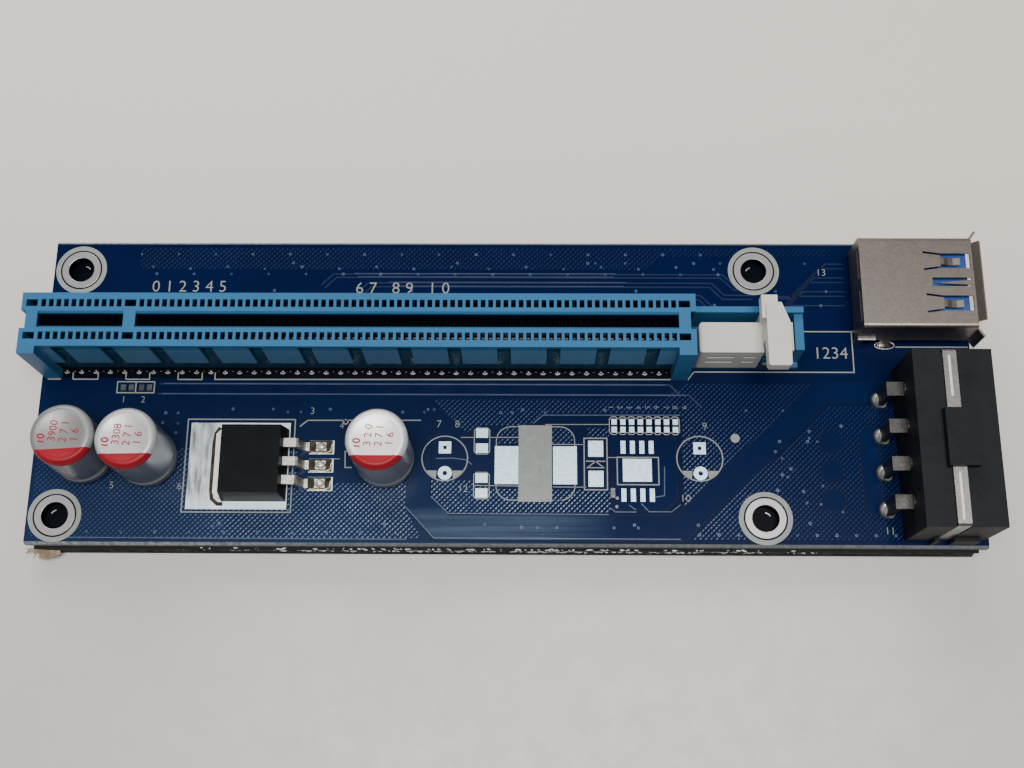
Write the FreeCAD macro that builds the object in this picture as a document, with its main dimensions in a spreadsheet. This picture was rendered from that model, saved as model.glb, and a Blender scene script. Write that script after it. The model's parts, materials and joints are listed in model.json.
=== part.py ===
"""A riser card: a long card slot, a serial-bus socket and a power inlet on one circuit board.

Millimetres. The origin is at the centre of the board's outline, on the face that the foam pad rests on.
+X runs along the board to the power inlet, +Y to the edge beside the slot, and +Z up from the board.
"""
import FreeCAD, Part
import Sketcher
import math
import os
from FreeCAD import Placement, Rotation, Vector

doc = FreeCAD.newDocument("riser_card")
sheet = doc.addObject("Spreadsheet::Sheet", "sizes")
sheet_row = 0


class Size:
    """A length with the spreadsheet formula that gives it, so that a model size and its place stay bound."""

    def __init__(self, value, formula):
        self.value = float(value)
        self.formula = formula

    def combine(self, other, sign, result):
        return Size(result, f"({self.formula} {sign} {other.formula})")

    def __add__(self, other):
        other = as_size(other)
        return self.combine(other, "+", self.value + other.value)

    def __sub__(self, other):
        other = as_size(other)
        return self.combine(other, "-", self.value - other.value)

    def __mul__(self, other):
        other = as_size(other)
        return self.combine(other, "*", self.value * other.value)

    def __truediv__(self, other):
        other = as_size(other)
        return self.combine(other, "/", self.value / other.value)

    def __neg__(self):
        return Size(-self.value, f"(0 - {self.formula})")

    def __radd__(self, other):
        return as_size(other) + self

    def __rsub__(self, other):
        return as_size(other) - self

    def __rmul__(self, other):
        return as_size(other) * self


def as_size(number):
    return number if isinstance(number, Size) else Size(number, repr(float(number)))


def size(alias, value):
    """Put one driving size in the sheet and return it."""
    global sheet_row
    sheet_row += 1
    sheet.set(f"A{sheet_row}", alias)
    sheet.set(f"B{sheet_row}", str(value))
    sheet.setAlias(f"B{sheet_row}", alias)
    return Size(value, f"sizes.{alias}")


# driving sizes

# circuit board and the foam pad stuck under it
board_width = size("board_width", 42.9)
board_thickness = size("board_thickness", 1.6)
score_depth = size("score_depth", 0.35)
pad_thickness = size("pad_thickness", 3.0)
pad_inset_ends = size("pad_inset_ends", 0.9)
pad_overhang_front = size("pad_overhang_front", 0.4)
pad_inset_back = size("pad_inset_back", 0.6)
hole_radius = size("hole_radius", 1.85)
hole_left_margin = size("hole_left_margin", 3.85)
hole_right_margin = size("hole_right_margin", 29.35)
hole_front_margin = size("hole_front_margin", 3.5)
hole_back_margin = size("hole_back_margin", 4.0)
lead_clearance = size("lead_clearance", 0.1)

# card slot: the housing and its contacts
slot_from_back = size("slot_from_back", 15.4)
slot_margin = size("slot_margin", 0.55)
slot_height = size("slot_height", 11.25)
slot_half_width = size("slot_half_width", 3.72)
slot_foot_half_width = size("slot_foot_half_width", 3.1)
slot_foot_height = size("slot_foot_height", 3.6)
panel_lip = size("panel_lip", 0.4)
contact_pitch = size("contact_pitch", 1.0)
key_gap = size("key_gap", 3.0)
contacts_before_key = size("contacts_before_key", 11)
contacts_after_key = size("contacts_after_key", 71)
slot_end_wall = size("slot_end_wall", 2.9)
card_gap = size("card_gap", 1.76)
card_depth = size("card_depth", 8.0)
card_end_gap = size("card_end_gap", 0.65)
card_lead_in = size("card_lead_in", 0.3)
key_thickness = size("key_thickness", 1.6)
window_width = size("window_width", 0.62)
window_inner_y = size("window_inner_y", 1.75)
window_outer_y = size("window_outer_y", 2.8)
window_shelf = size("window_shelf", 2.0)
blind_window_depth = size("blind_window_depth", 3.0)
end_notch_depth = size("end_notch_depth", 0.7)
end_notch_half_width = size("end_notch_half_width", 1.25)
end_block_length = size("end_block_length", 2.3)
end_block_reach = size("end_block_reach", 4.75)
groove_width = size("groove_width", 1.8)
groove_depth = size("groove_depth", 0.72)
groove_sill_depth = size("groove_sill_depth", 0.5)
groove_sill_height = size("groove_sill_height", 7.4)
contacts_per_groove = size("contacts_per_groove", 6.53)
groove_count = size("groove_count", 13)
rim_height = size("rim_height", 0.6)
blind_window_width = size("blind_window_width", 1.5)
contact_thickness = size("contact_thickness", 0.2)
contact_width = size("contact_width", 0.4)

# tail of the slot and the latch that turns in it
tail_length = size("tail_length", 15.1)
tail_rail_thickness = size("tail_rail_thickness", 0.85)
tail_rail_height = size("tail_rail_height", 6.5)
tail_wall_thickness = size("tail_wall_thickness", 1.2)
tail_wall_height = size("tail_wall_height", 5.8)
tail_floor_height = size("tail_floor_height", 0.5)
tail_lug_thickness = size("tail_lug_thickness", 0.8)
tail_lug_radius = size("tail_lug_radius", 1.2)
latch_gap = size("latch_gap", 0.85)
latch_arm_length = size("latch_arm_length", 8.3)
latch_arm_width = size("latch_arm_width", 4.2)
latch_arm_height = size("latch_arm_height", 7.4)
latch_stem_thickness = size("latch_stem_thickness", 3.0)
latch_height = size("latch_height", 11.6)
latch_tab_thickness = size("latch_tab_thickness", 1.9)
latch_tab_chamfer = size("latch_tab_chamfer", 2.6)
latch_tab_overhang = size("latch_tab_overhang", 3.1)
latch_corner = size("latch_corner", 0.5)
grip_groove_height = size("grip_groove_height", 0.7)
grip_groove_depth = size("grip_groove_depth", 1.1)
latch_pivot_height = size("latch_pivot_height", 2.4)
latch_pivot_setback = size("latch_pivot_setback", 0.3)
latch_pivot_radius = size("latch_pivot_radius", 0.8)
pivot_clearance = size("pivot_clearance", 0.06)
latch_side_clearance = size("latch_side_clearance", 0.2)

# serial-bus socket
socket_zone = size("socket_zone", 24.05)
usb_from_back = size("usb_from_back", 8.25)
usb_setback = size("usb_setback", 0.85)
usb_length = size("usb_length", 15.3)
usb_width = size("usb_width", 13.1)
usb_bottom = size("usb_bottom", 1.2)
usb_top = size("usb_top", 7.0)
usb_sheet = size("usb_sheet", 0.3)
usb_corner = size("usb_corner", 0.6)
usb_flare = size("usb_flare", 0.95)
usb_fit = size("usb_fit", 0.05)
usb_tongue_width = size("usb_tongue_width", 11.1)
usb_tongue_thickness = size("usb_tongue_thickness", 1.84)
usb_leg_radius = size("usb_leg_radius", 1.0)
usb_leg_setback = size("usb_leg_setback", 4.2)
usb_leg_width = size("usb_leg_width", 1.5)
usb_foot_width = size("usb_foot_width", 1.2)
usb_block_length = size("usb_block_length", 4.6)
usb_contact_sheet = size("usb_contact_sheet", 0.25)
spring_spacing = size("spring_spacing", 6.1)
spring_length = size("spring_length", 6.4)
spring_width = size("spring_width", 1.6)
spring_tip_width = size("spring_tip_width", 1.0)
spring_slit = size("spring_slit", 0.28)

# power inlet
power_from_front = size("power_from_front", 12.3)
power_setback = size("power_setback", 0.85)
power_depth = size("power_depth", 10.3)
power_width = size("power_width", 23.5)
power_height = size("power_height", 10.2)
power_wall = size("power_wall", 1.2)
power_rear_wall = size("power_rear_wall", 1.6)
power_pin_pitch = size("power_pin_pitch", 5.08)
power_pin_radius = size("power_pin_radius", 1.05)
power_pin_height = size("power_pin_height", 5.4)
power_tail_width = size("power_tail_width", 1.9)
power_tail_thickness = size("power_tail_thickness", 0.8)
power_tail_reach = size("power_tail_reach", 2.4)
strap_setback = size("strap_setback", 4.7)
strap_width = size("strap_width", 1.75)
strap_thickness = size("strap_thickness", 0.4)
strap_groove_depth = size("strap_groove_depth", 0.5)
strap_side_gap = size("strap_side_gap", 0.1)
bridge_length = size("bridge_length", 7.6)
bridge_width = size("bridge_width", 4.0)
bridge_height = size("bridge_height", 1.3)

# round capacitors
can_radius = size("can_radius", 4.0)
can_height = size("can_height", 11.6)
can_lift = size("can_lift", 0.3)
can_wall = size("can_wall", 0.35)
can_lean = size("can_lean", 3.0)
can_lean_lift = size("can_lean_lift", 0.25)
seal_recess = size("seal_recess", 0.1)
seal_height = size("seal_height", 1.4)
lead_radius = size("lead_radius", 0.3)
lead_pitch = size("lead_pitch", 3.5)
can_places = (
    (size("can_one_from_left", 7.3), size("can_one_from_front", 11.7)),
    (size("can_two_from_left", 16.0), size("can_two_from_front", 11.35)),
    (size("can_three_from_left", 48.1), size("can_three_from_front", 11.35)),
)

# voltage regulator
regulator_from_left = size("regulator_from_left", 30.5)
regulator_from_front = size("regulator_from_front", 10.5)
regulator_length = size("regulator_length", 8.7)
regulator_width = size("regulator_width", 10.0)
regulator_height = size("regulator_height", 4.45)
regulator_draft = size("regulator_draft", 0.4)
mould_gap = size("mould_gap", 0.05)
tab_thickness = size("tab_thickness", 1.27)
tab_reach = size("tab_reach", 1.0)
leg_pitch = size("leg_pitch", 2.54)
leg_width = size("leg_width", 1.2)
leg_thickness = size("leg_thickness", 0.5)
leg_exit_height = size("leg_exit_height", 2.3)
leg_reach = size("leg_reach", 5.4)

# heights that several pieces share
board_under = pad_thickness
board_top = pad_thickness + board_thickness

# the slot with its tail and the zone of the two sockets set how long the board is
contact_gaps = contacts_before_key + contacts_after_key - 2
slot_length = contact_gaps * contact_pitch + key_gap + slot_end_wall * 2
board_length = slot_margin + slot_length + tail_length + socket_zone
right_edge = board_length / 2
back_edge = board_width / 2
left_edge, front_edge = -right_edge, -back_edge

# where the pieces stand on the board
slot_y = back_edge - slot_from_back
slot_left = left_edge + slot_margin
slot_right = slot_left + slot_length
first_contact_x = slot_left + slot_end_wall
last_contact_x = slot_right - slot_end_wall
key_x = first_contact_x + (contacts_before_key - 1) * contact_pitch + key_gap / 2
groove_pitch = contact_pitch * contacts_per_groove
tail_right = slot_right + tail_length
latch_left = slot_right + latch_gap
latch_stem_left = latch_left + latch_arm_length
latch_stem_right = latch_stem_left + latch_stem_thickness
latch_pivot_x = latch_stem_left + tail_lug_radius + latch_pivot_setback
usb_y = back_edge - usb_from_back
usb_front_x = right_edge - usb_setback
usb_rear_x = usb_front_x - usb_length
usb_leg_x = usb_rear_x + usb_leg_setback
usb_tongue_top = usb_top - usb_sheet - 0.75
usb_contact_offsets = (-3.5, -1.0, 1.0, 3.5)
power_y = front_edge + power_from_front
power_rear_x = right_edge - power_setback - power_depth
strap_x = power_rear_x + strap_setback
regulator_x = left_edge + regulator_from_left
regulator_y = front_edge + regulator_from_front
can_centres = [(left_edge + from_left, front_edge + from_front) for from_left, from_front in can_places]


# drawing helpers

def new_body(label):
    body = doc.addObject("PartDesign::Body", label)
    body.Label = label
    return body


def origin_plane(body, role):
    for feature in body.Origin.OriginFeatures:
        if feature.Role == role:
            return feature
    raise ValueError(role)


def new_sketch(body, name, role, offset=None):
    """A sketch on one of the body's own planes; offset moves it along the plane's normal."""
    sketch = body.newObject("Sketcher::SketchObject", name)
    sketch.AttachmentSupport = [(origin_plane(body, role), "")]
    sketch.MapMode = "FlatFace"
    if offset is not None:
        sketch.setExpression("AttachmentOffset.Base.z", as_size(offset).formula)
    return sketch


def bind(sketch, kind, geometry, point, amount):
    """Hold one coordinate of a sketch point to a size."""
    amount = as_size(amount)
    index = sketch.addConstraint(Sketcher.Constraint(kind, -1, 1, geometry, point, amount.value))
    sketch.setExpression(f"Constraints[{index}]", amount.formula)


def add_outline(sketch, points):
    """A closed outline of straight lines through points whose places are sizes."""
    points = [(as_size(u), as_size(v)) for u, v in points]
    corners = [Vector(u.value, v.value, 0) for u, v in points]
    first = len(sketch.Geometry)
    for index, corner in enumerate(corners):
        sketch.addGeometry(Part.LineSegment(corner, corners[(index + 1) % len(corners)]), False)
    for index, (u, v) in enumerate(points):
        follower = first + (index + 1) % len(points)
        sketch.addConstraint(Sketcher.Constraint("Coincident", first + index, 2, follower, 1))
        bind(sketch, "DistanceX", first + index, 1, u)
        bind(sketch, "DistanceY", first + index, 1, v)


def add_rectangle(sketch, left, bottom, right, top):
    add_outline(sketch, ((left, bottom), (right, bottom), (right, top), (left, top)))


def add_circle(sketch, u, v, radius):
    u, v, radius = as_size(u), as_size(v), as_size(radius)
    circle = Part.Circle(Vector(u.value, v.value, 0), Vector(0, 0, 1), radius.value)
    index = sketch.addGeometry(circle, False)
    bind(sketch, "DistanceX", index, 3, u)
    bind(sketch, "DistanceY", index, 3, v)
    held = sketch.addConstraint(Sketcher.Constraint("Radius", index, radius.value))
    sketch.setExpression(f"Constraints[{held}]", radius.formula)


def add_feature(body, kind, name, sketch, length, midplane=False, reverse=False):
    feature = body.newObject(f"PartDesign::{kind}", name)
    feature.Profile = sketch
    feature.setExpression("Length", as_size(length).formula)
    feature.Midplane = midplane
    feature.Reversed = reverse
    sketch.Visibility = False
    return feature


def add_pattern(body, name, features, pitch, count):
    """Repeat features along X."""
    pattern = body.newObject("PartDesign::LinearPattern", name)
    pattern.Originals = features
    pattern.Direction = (origin_plane(body, "X_Axis"), [""])
    pattern.setExpression("Length", (pitch * (count - 1)).formula)
    pattern.setExpression("Occurrences", count.formula)
    body.Tip = pattern
    return pattern


def place(target, x=0, y=0, z=0):
    """Hold an object's place to sizes."""
    for axis, amount in (("x", x), ("y", y), ("z", z)):
        if isinstance(amount, Size):
            target.setExpression(f"Placement.Base.{axis}", amount.formula)


def part_box(name, x, y, z, length, width, height):
    box = doc.addObject("Part::Box", name)
    for field, amount in (("Length", length), ("Width", width), ("Height", height)):
        box.setExpression(field, as_size(amount).formula)
    place(box, as_size(x), as_size(y), as_size(z))
    return box


def part_union(label, pieces):
    union = doc.addObject("Part::MultiFuse", label)
    union.Label = label
    union.Shapes = pieces
    return union


# board and pad

def lead_places():
    """Centres and radii of the holes that component leads pass through."""
    for x, y in can_centres:
        for side in (-1, 1):
            yield x, y + lead_pitch * (side / 2), lead_radius + lead_clearance
    for index in range(4):
        tail_x = power_rear_x - power_tail_reach + power_tail_thickness / 2
        yield tail_x, power_y + power_pin_pitch * (index - 1.5), power_tail_width / 2 + lead_clearance * 2
    for side in (-1, 1):
        yield usb_leg_x, usb_y + (usb_width / 2 - usb_sheet) * side, usb_leg_radius + lead_clearance


def make_board():
    board = new_body("circuit_board")
    place(board, z=board_under)
    outline = new_sketch(board, "board_outline", "XY_Plane")
    edge = back_edge + score_depth
    add_rectangle(outline, left_edge, -edge, right_edge, edge)
    for x in (left_edge + hole_left_margin, right_edge - hole_right_margin):
        for y in (front_edge + hole_front_margin, back_edge - hole_back_margin):
            add_circle(outline, x, y, hole_radius)
    for x, y, radius in lead_places():
        add_circle(outline, x, y, radius)
    slab = add_feature(board, "Pad", "board_slab", outline, board_thickness)
    doc.recompute()
    # the long edges keep the slope of the scored line where the board was snapped from its panel
    long_edges = []
    for index, line in enumerate(slab.Shape.Edges, 1):
        if line.Length > board_length.value * 0.9:
            long_edges.append(f"Edge{index}")
    bevel = board.newObject("PartDesign::Chamfer", "scored_edges")
    bevel.Base = (slab, long_edges)
    bevel.setExpression("Size", score_depth.formula)
    board.Tip = bevel


def make_pad():
    pad = new_body("insulating_pad")
    outline = new_sketch(pad, "pad_outline", "XY_Plane")
    right = right_edge - pad_inset_ends
    front = front_edge - score_depth - pad_overhang_front
    back = back_edge - pad_inset_back
    add_rectangle(outline, -right, front, right, back)
    add_feature(pad, "Pad", "pad_sheet", outline, pad_thickness)


def make_scrap():
    """The torn end of the tape that held the pad, left sticking out at the front left corner."""
    scrap = new_body("torn_tape_scrap")
    outline = new_sketch(scrap, "scrap_outline", "XY_Plane")
    left = left_edge
    front = front_edge - score_depth - pad_overhang_front
    add_outline(outline, (
        (left - 0.7, front + 0.5), (left + 0.2, front - 1.0), (left + 1.2, front - 0.6),
        (left + 2.0, front - 1.6), (left + 2.7, front - 0.8), (left + 3.8, front - 1.1),
        (left + 4.3, front), (left + pad_inset_ends, front), (left + pad_inset_ends, front + 1.4),
    ))
    add_feature(scrap, "Pad", "scrap_sheet", outline, 0.35)
    place(scrap, z=pad_thickness - 1.4)


# card slot

def make_slot_housing():
    """The slot's moulded body with its chambers, one per contact, and the tail that the latch turns in."""
    body = new_body("slot_housing")
    place(body, y=slot_y, z=board_top)

    # main bar: a foot narrower than the walls above it
    section = new_sketch(body, "slot_section", "YZ_Plane", slot_left)
    add_outline(section, (
        (-slot_foot_half_width, 0), (slot_foot_half_width, 0),
        (slot_foot_half_width, slot_foot_height), (slot_half_width, slot_foot_height + panel_lip),
        (slot_half_width, slot_height), (-slot_half_width, slot_height),
        (-slot_half_width, slot_foot_height + panel_lip), (-slot_foot_half_width, slot_foot_height),
    ))
    add_feature(body, "Pad", "slot_bar", section, slot_right - slot_left)

    # blocks that stand proud of the near wall at both ends
    blocks = new_sketch(body, "end_blocks", "XY_Plane")
    for start in (slot_left, slot_right - end_block_length):
        add_rectangle(blocks, start, -end_block_reach, start + end_block_length, -(slot_half_width - 1))
    add_feature(body, "Pad", "end_block_pads", blocks, slot_height)

    # tail: far rail, floor, end wall and the lug that carries the latch's near journal
    rail = new_sketch(body, "tail_rail", "XY_Plane")
    rail_inner = slot_half_width - tail_rail_thickness
    add_rectangle(rail, slot_right - 1, rail_inner, tail_right, slot_half_width)
    add_feature(body, "Pad", "tail_rail_pad", rail, tail_rail_height)
    floor = new_sketch(body, "tail_floor", "XY_Plane")
    add_rectangle(floor, slot_right - 1, -slot_foot_half_width, tail_right, rail_inner + 0.2)
    add_feature(body, "Pad", "tail_floor_pad", floor, tail_floor_height)
    wall = new_sketch(body, "tail_wall", "XY_Plane")
    wall_left = tail_right - tail_wall_thickness
    add_rectangle(wall, wall_left, -2.2, tail_right, rail_inner + 0.2)
    add_feature(body, "Pad", "tail_wall_pad", wall, tail_wall_height)
    lug = new_sketch(body, "tail_lug", "XZ_Plane", slot_foot_half_width - tail_lug_thickness)
    add_rectangle(lug, latch_pivot_x - tail_lug_radius, 0,
                  latch_pivot_x + tail_lug_radius, latch_pivot_height)
    add_feature(body, "Pad", "tail_lug_pad", lug, tail_lug_thickness)
    crown = new_sketch(body, "lug_crown", "XZ_Plane", slot_foot_half_width - tail_lug_thickness)
    add_circle(crown, latch_pivot_x, latch_pivot_height, tail_lug_radius)
    add_feature(body, "Pad", "lug_crown_pad", crown, tail_lug_thickness)
    journal = new_sketch(body, "journal_bore", "XZ_Plane")
    add_circle(journal, latch_pivot_x, latch_pivot_height, latch_pivot_radius + pivot_clearance)
    bore = body.newObject("PartDesign::Pocket", "journal_bores")
    bore.Profile = journal
    bore.Type = 1
    bore.Midplane = True

    # card gap, split by the key rib
    card = new_sketch(body, "card_gaps", "XY_Plane", slot_height)
    half_gap = card_gap / 2
    add_rectangle(card, first_contact_x - card_end_gap, -half_gap, key_x - key_thickness / 2, half_gap)
    add_rectangle(card, key_x + key_thickness / 2, -half_gap, last_contact_x + card_end_gap, half_gap)
    gap = add_feature(body, "Pocket", "card_gap_pocket", card, card_depth)
    doc.recompute()
    mouth = []
    for index, line in enumerate(gap.Shape.Edges, 1):
        box = line.BoundBox
        at_top = abs(box.ZMin - slot_height.value) < 1e-6 and box.ZLength < 1e-6
        beside_gap = abs(abs(box.YMin) - half_gap.value) < 1e-6 and box.YLength < 1e-6
        if at_top and beside_gap and box.XLength > 5:
            mouth.append(f"Edge{index}")
    lead_in = body.newObject("PartDesign::Chamfer", "card_lead_in")
    lead_in.Base = (gap, mouth)
    lead_in.setExpression("Size", card_lead_in.formula)

    # notches in both ends, blind windows at the ends and beside the key
    notches = new_sketch(body, "end_notches", "XY_Plane", slot_height)
    notch_left, notch_right = slot_left + end_notch_depth, slot_right - end_notch_depth
    for start, end in ((slot_left - 1, notch_left), (notch_right, slot_right + 1)):
        add_rectangle(notches, start, -end_notch_half_width, end, end_notch_half_width)
    add_feature(body, "Pocket", "end_notch_pocket", notches, slot_height - 1)
    blind = new_sketch(body, "blind_windows", "XY_Plane", slot_height)
    blind_half = blind_window_width / 2
    for middle in (slot_left + 1.35, key_x, slot_right - 1.5):
        for side in (-1, 1):
            low, high = sorted((window_inner_y * side, window_outer_y * side), key=lambda edge: edge.value)
            add_rectangle(blind, middle - blind_half, low + 0.05, middle + blind_half, high - 0.05)
    add_feature(body, "Pocket", "blind_window_pocket", blind, blind_window_depth)

    # upright grooves on both long sides: deep under the rim, shallower below a sill half way down
    groove_x = first_contact_x + 2 * contact_pitch
    rim_low = slot_height - rim_height
    steps = []
    for name, low, high, depth in (
        ("lower", slot_foot_height, groove_sill_height, groove_sill_depth),
        ("upper", groove_sill_height, rim_low, groove_depth),
    ):
        grooves = new_sketch(body, f"{name}_grooves", "XY_Plane", low)
        for side in (-1, 1):
            edges = ((slot_half_width + 0.3) * side, (slot_half_width - depth) * side)
            inner, outer = sorted(edges, key=lambda edge: edge.value)
            add_rectangle(grooves, groove_x - groove_width / 2, inner, groove_x + groove_width / 2, outer)
        steps.append(add_feature(body, "Pocket", f"{name}_groove_cut", grooves, high - low, reverse=True))
    add_pattern(body, "groove_row", steps, groove_pitch, groove_count)

    # contact chambers: a window in the top, open to the card gap below the shelf and down to the board
    for name, start, count in (
        ("short", first_contact_x, contacts_before_key),
        ("long", key_x + key_gap / 2, contacts_after_key),
    ):
        chamber = new_sketch(body, f"{name}_chambers", "YZ_Plane", start)
        for side in (-1, 1):
            add_outline(chamber, (
                (window_inner_y * side, -0.5), (window_outer_y * side, -0.5),
                (window_outer_y * side, slot_height + 0.5), (window_inner_y * side, slot_height + 0.5),
                (window_inner_y * side, slot_height - window_shelf),
                (half_gap * (0.8 * side), slot_height - window_shelf),
                (half_gap * (0.8 * side), slot_height - card_depth + 0.4),
                (window_inner_y * side, slot_height - card_depth + 0.4),
            ))
        cut = add_feature(body, "Pocket", f"{name}_chamber_cut", chamber, window_width, midplane=True)
        add_pattern(body, f"{name}_chamber_row", [cut], contact_pitch, count)


def make_slot_contacts(label, side):
    """One row of spring contacts: each rises from the board, leans into the card gap and turns back."""
    outer = (window_outer_y - 0.12).value
    tip = (card_gap / 2 - 0.2).value
    back = (window_inner_y + 0.35).value
    top = (slot_height - window_shelf).value
    sheet_metal = contact_thickness.value
    spine = ((outer, 0.0), (outer, 4.4), (tip + sheet_metal, top - 1.9), (back, top + 0.3))
    inner = ((back - sheet_metal, top + 0.3), (tip, top - 1.9), (outer - sheet_metal, 4.2),
             (outer - sheet_metal, 0.0))
    wire = Part.makePolygon([Vector(0, side * y, z) for y, z in spine + inner + spine[:1]])
    half_width = contact_width.value / 2
    blade = Part.Face(wire).extrude(Vector(contact_width.value, 0, 0))
    starts = (
        (first_contact_x.value, int(contacts_before_key.value)),
        ((key_x + key_gap / 2).value, int(contacts_after_key.value)),
    )
    row = []
    for start, count in starts:
        for index in range(count):
            copy = blade.copy()
            copy.translate(Vector(start + index * contact_pitch.value - half_width, 0, 0))
            row.append(copy)
    contacts = doc.addObject("Part::Feature", label)
    contacts.Label = label
    contacts.Shape = Part.makeCompound(row)
    place(contacts, y=slot_y, z=board_top)


def make_latch():
    """The latch: its journals turn in the far rail and in the near lug."""
    body = new_body("slot_latch")
    place(body, y=slot_y, z=board_top)
    near = -slot_foot_half_width
    low = tail_floor_height + 0.2
    far_side = slot_half_width - tail_rail_thickness - latch_side_clearance
    tab_far = far_side - 0.2

    # arm with rounded outer corners
    arm = new_sketch(body, "latch_arm", "XZ_Plane", -(near + latch_arm_width))
    add_rectangle(arm, latch_left, low, latch_stem_left + 0.2, latch_arm_height)
    arm_pad = add_feature(body, "Pad", "latch_arm_pad", arm, latch_arm_width)
    doc.recompute()
    corners = []
    for index, line in enumerate(arm_pad.Shape.Edges, 1):
        box = line.BoundBox
        upright = box.ZLength > 1 and box.XMax < latch_left.value + 0.01
        across = box.YLength > 1 and box.XMax < latch_left.value + 0.01 and box.ZMin > low.value + 1
        if upright or across:
            corners.append(f"Edge{index}")
    rounding = body.newObject("PartDesign::Fillet", "arm_corners")
    rounding.Base = (arm_pad, corners)
    rounding.setExpression("Radius", latch_corner.formula)

    # stem, cut back under the pivot so that it can turn
    stem_near = near + tail_lug_thickness + latch_side_clearance
    stem_far = tab_far - latch_tab_chamfer
    stem = new_sketch(body, "latch_stem", "XZ_Plane", -stem_far)
    add_outline(stem, (
        (latch_stem_left - 0.6, low), (latch_pivot_x - 0.4, low),
        (latch_stem_right, latch_pivot_height + 0.4), (latch_stem_right, latch_height - 0.3),
        (latch_stem_left, latch_height - 0.3),
        (latch_stem_left, latch_arm_height - 0.5), (latch_stem_left - 0.6, latch_arm_height - 0.9),
    ))
    add_feature(body, "Pad", "latch_stem_pad", stem, stem_far - stem_near)

    # lower part of the stem, as wide as the channel, which carries the far journal
    post = new_sketch(body, "latch_post", "XZ_Plane", -far_side)
    add_outline(post, (
        (latch_stem_left, low), (latch_pivot_x - 0.4, low), (latch_stem_right, latch_pivot_height + 0.4),
        (latch_stem_right, latch_arm_height - 0.8), (latch_stem_left, latch_arm_height - 0.8),
    ))
    add_feature(body, "Pad", "latch_post_pad", post, far_side - stem_near)

    # finger tab across the top, with its far outer corner cut away
    tab = new_sketch(body, "finger_tab", "XY_Plane", latch_height - latch_tab_thickness)
    tab_near = near - latch_tab_overhang
    nip = latch_corner / 2
    add_outline(tab, (
        (latch_stem_left + nip, tab_near), (latch_stem_right - nip, tab_near),
        (latch_stem_right, tab_near + nip), (latch_stem_right, tab_far - latch_tab_chamfer),
        (latch_stem_right - 1.0, tab_far), (latch_stem_left, tab_far), (latch_stem_left, tab_near + nip),
    ))
    add_feature(body, "Pad", "finger_tab_pad", tab, latch_tab_thickness)

    # hook that reaches over the rail, and the grip behind the tab
    hook = new_sketch(body, "rail_hook", "XY_Plane", latch_height - 2.4)
    add_rectangle(hook, latch_stem_left - 0.5, tab_far - 2.0, latch_stem_left + 1.6, slot_half_width - 0.05)
    add_feature(body, "Pad", "rail_hook_pad", hook, 1.9)
    grip = new_sketch(body, "outer_grip", "XY_Plane", tail_wall_height + 1.4)
    add_rectangle(grip, latch_stem_right - 0.5, near - 0.3, latch_stem_right + 0.8, near + 3.6)
    add_feature(body, "Pad", "outer_grip_pad", grip, 2.0)

    # grooves across the arm's near face
    ribs = new_sketch(body, "grip_grooves", "XZ_Plane", -near)
    for height in (3.3, 5.3):
        low_edge, high_edge = height - grip_groove_height / 2, height + grip_groove_height / 2
        add_rectangle(ribs, latch_left + 1.2, low_edge, latch_left + 4.9, high_edge)
        add_rectangle(ribs, latch_left + 6.1, low_edge, latch_stem_left - 0.5, high_edge)
    add_feature(body, "Pocket", "grip_groove_pocket", ribs, grip_groove_depth)

    # journals
    journal_far = slot_half_width - 0.1
    journal = new_sketch(body, "journals", "XZ_Plane", -journal_far)
    add_circle(journal, latch_pivot_x, latch_pivot_height, latch_pivot_radius)
    add_feature(body, "Pad", "journal_pad", journal, journal_far - (near + 0.1))


# serial-bus socket

def add_rounded_section(sketch, half_width, bottom, top, radius):
    """A rounded rectangle about the sketch's vertical axis."""
    half_width, bottom, top, radius = (as_size(part) for part in (half_width, bottom, top, radius))
    right, low, high, bend = half_width.value, bottom.value, top.value, radius.value
    corners = ((right, low, -1, 1), (right, high, -1, -1), (-right, high, 1, -1), (-right, low, 1, 1))
    first = len(sketch.Geometry)
    centres = [Vector(u + bend * du, v + bend * dv, 0) for u, v, du, dv in corners]
    starts = (-math.pi / 2, 0, math.pi / 2, math.pi)
    for centre, start in zip(centres, starts):
        circle = Part.Circle(centre, Vector(0, 0, 1), bend)
        sketch.addGeometry(Part.ArcOfCircle(circle, start, start + math.pi / 2))
    lines = len(sketch.Geometry)
    for index in range(4):
        after = (index + 1) % 4
        begin = sketch.getPoint(first + index, 2)
        end = sketch.getPoint(first + after, 1)
        sketch.addGeometry(Part.LineSegment(begin, end), False)
    for index in range(4):
        after = (index + 1) % 4
        sketch.addConstraint(Sketcher.Constraint("Tangent", first + index, 2, lines + index, 1))
        sketch.addConstraint(Sketcher.Constraint("Tangent", lines + index, 2, first + after, 1))
    sketch.addConstraint(Sketcher.Constraint("Vertical", lines))
    sketch.addConstraint(Sketcher.Constraint("Horizontal", lines + 1))
    for index, (u, v, du, dv) in enumerate(corners):
        held = sketch.addConstraint(Sketcher.Constraint("Radius", first + index, bend))
        sketch.setExpression(f"Constraints[{held}]", radius.formula)
    bind(sketch, "DistanceX", first, 3, half_width - radius)
    bind(sketch, "DistanceY", first, 3, bottom + radius)
    bind(sketch, "DistanceX", first + 2, 3, radius - half_width)
    bind(sketch, "DistanceY", first + 2, 3, top - radius)


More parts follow.
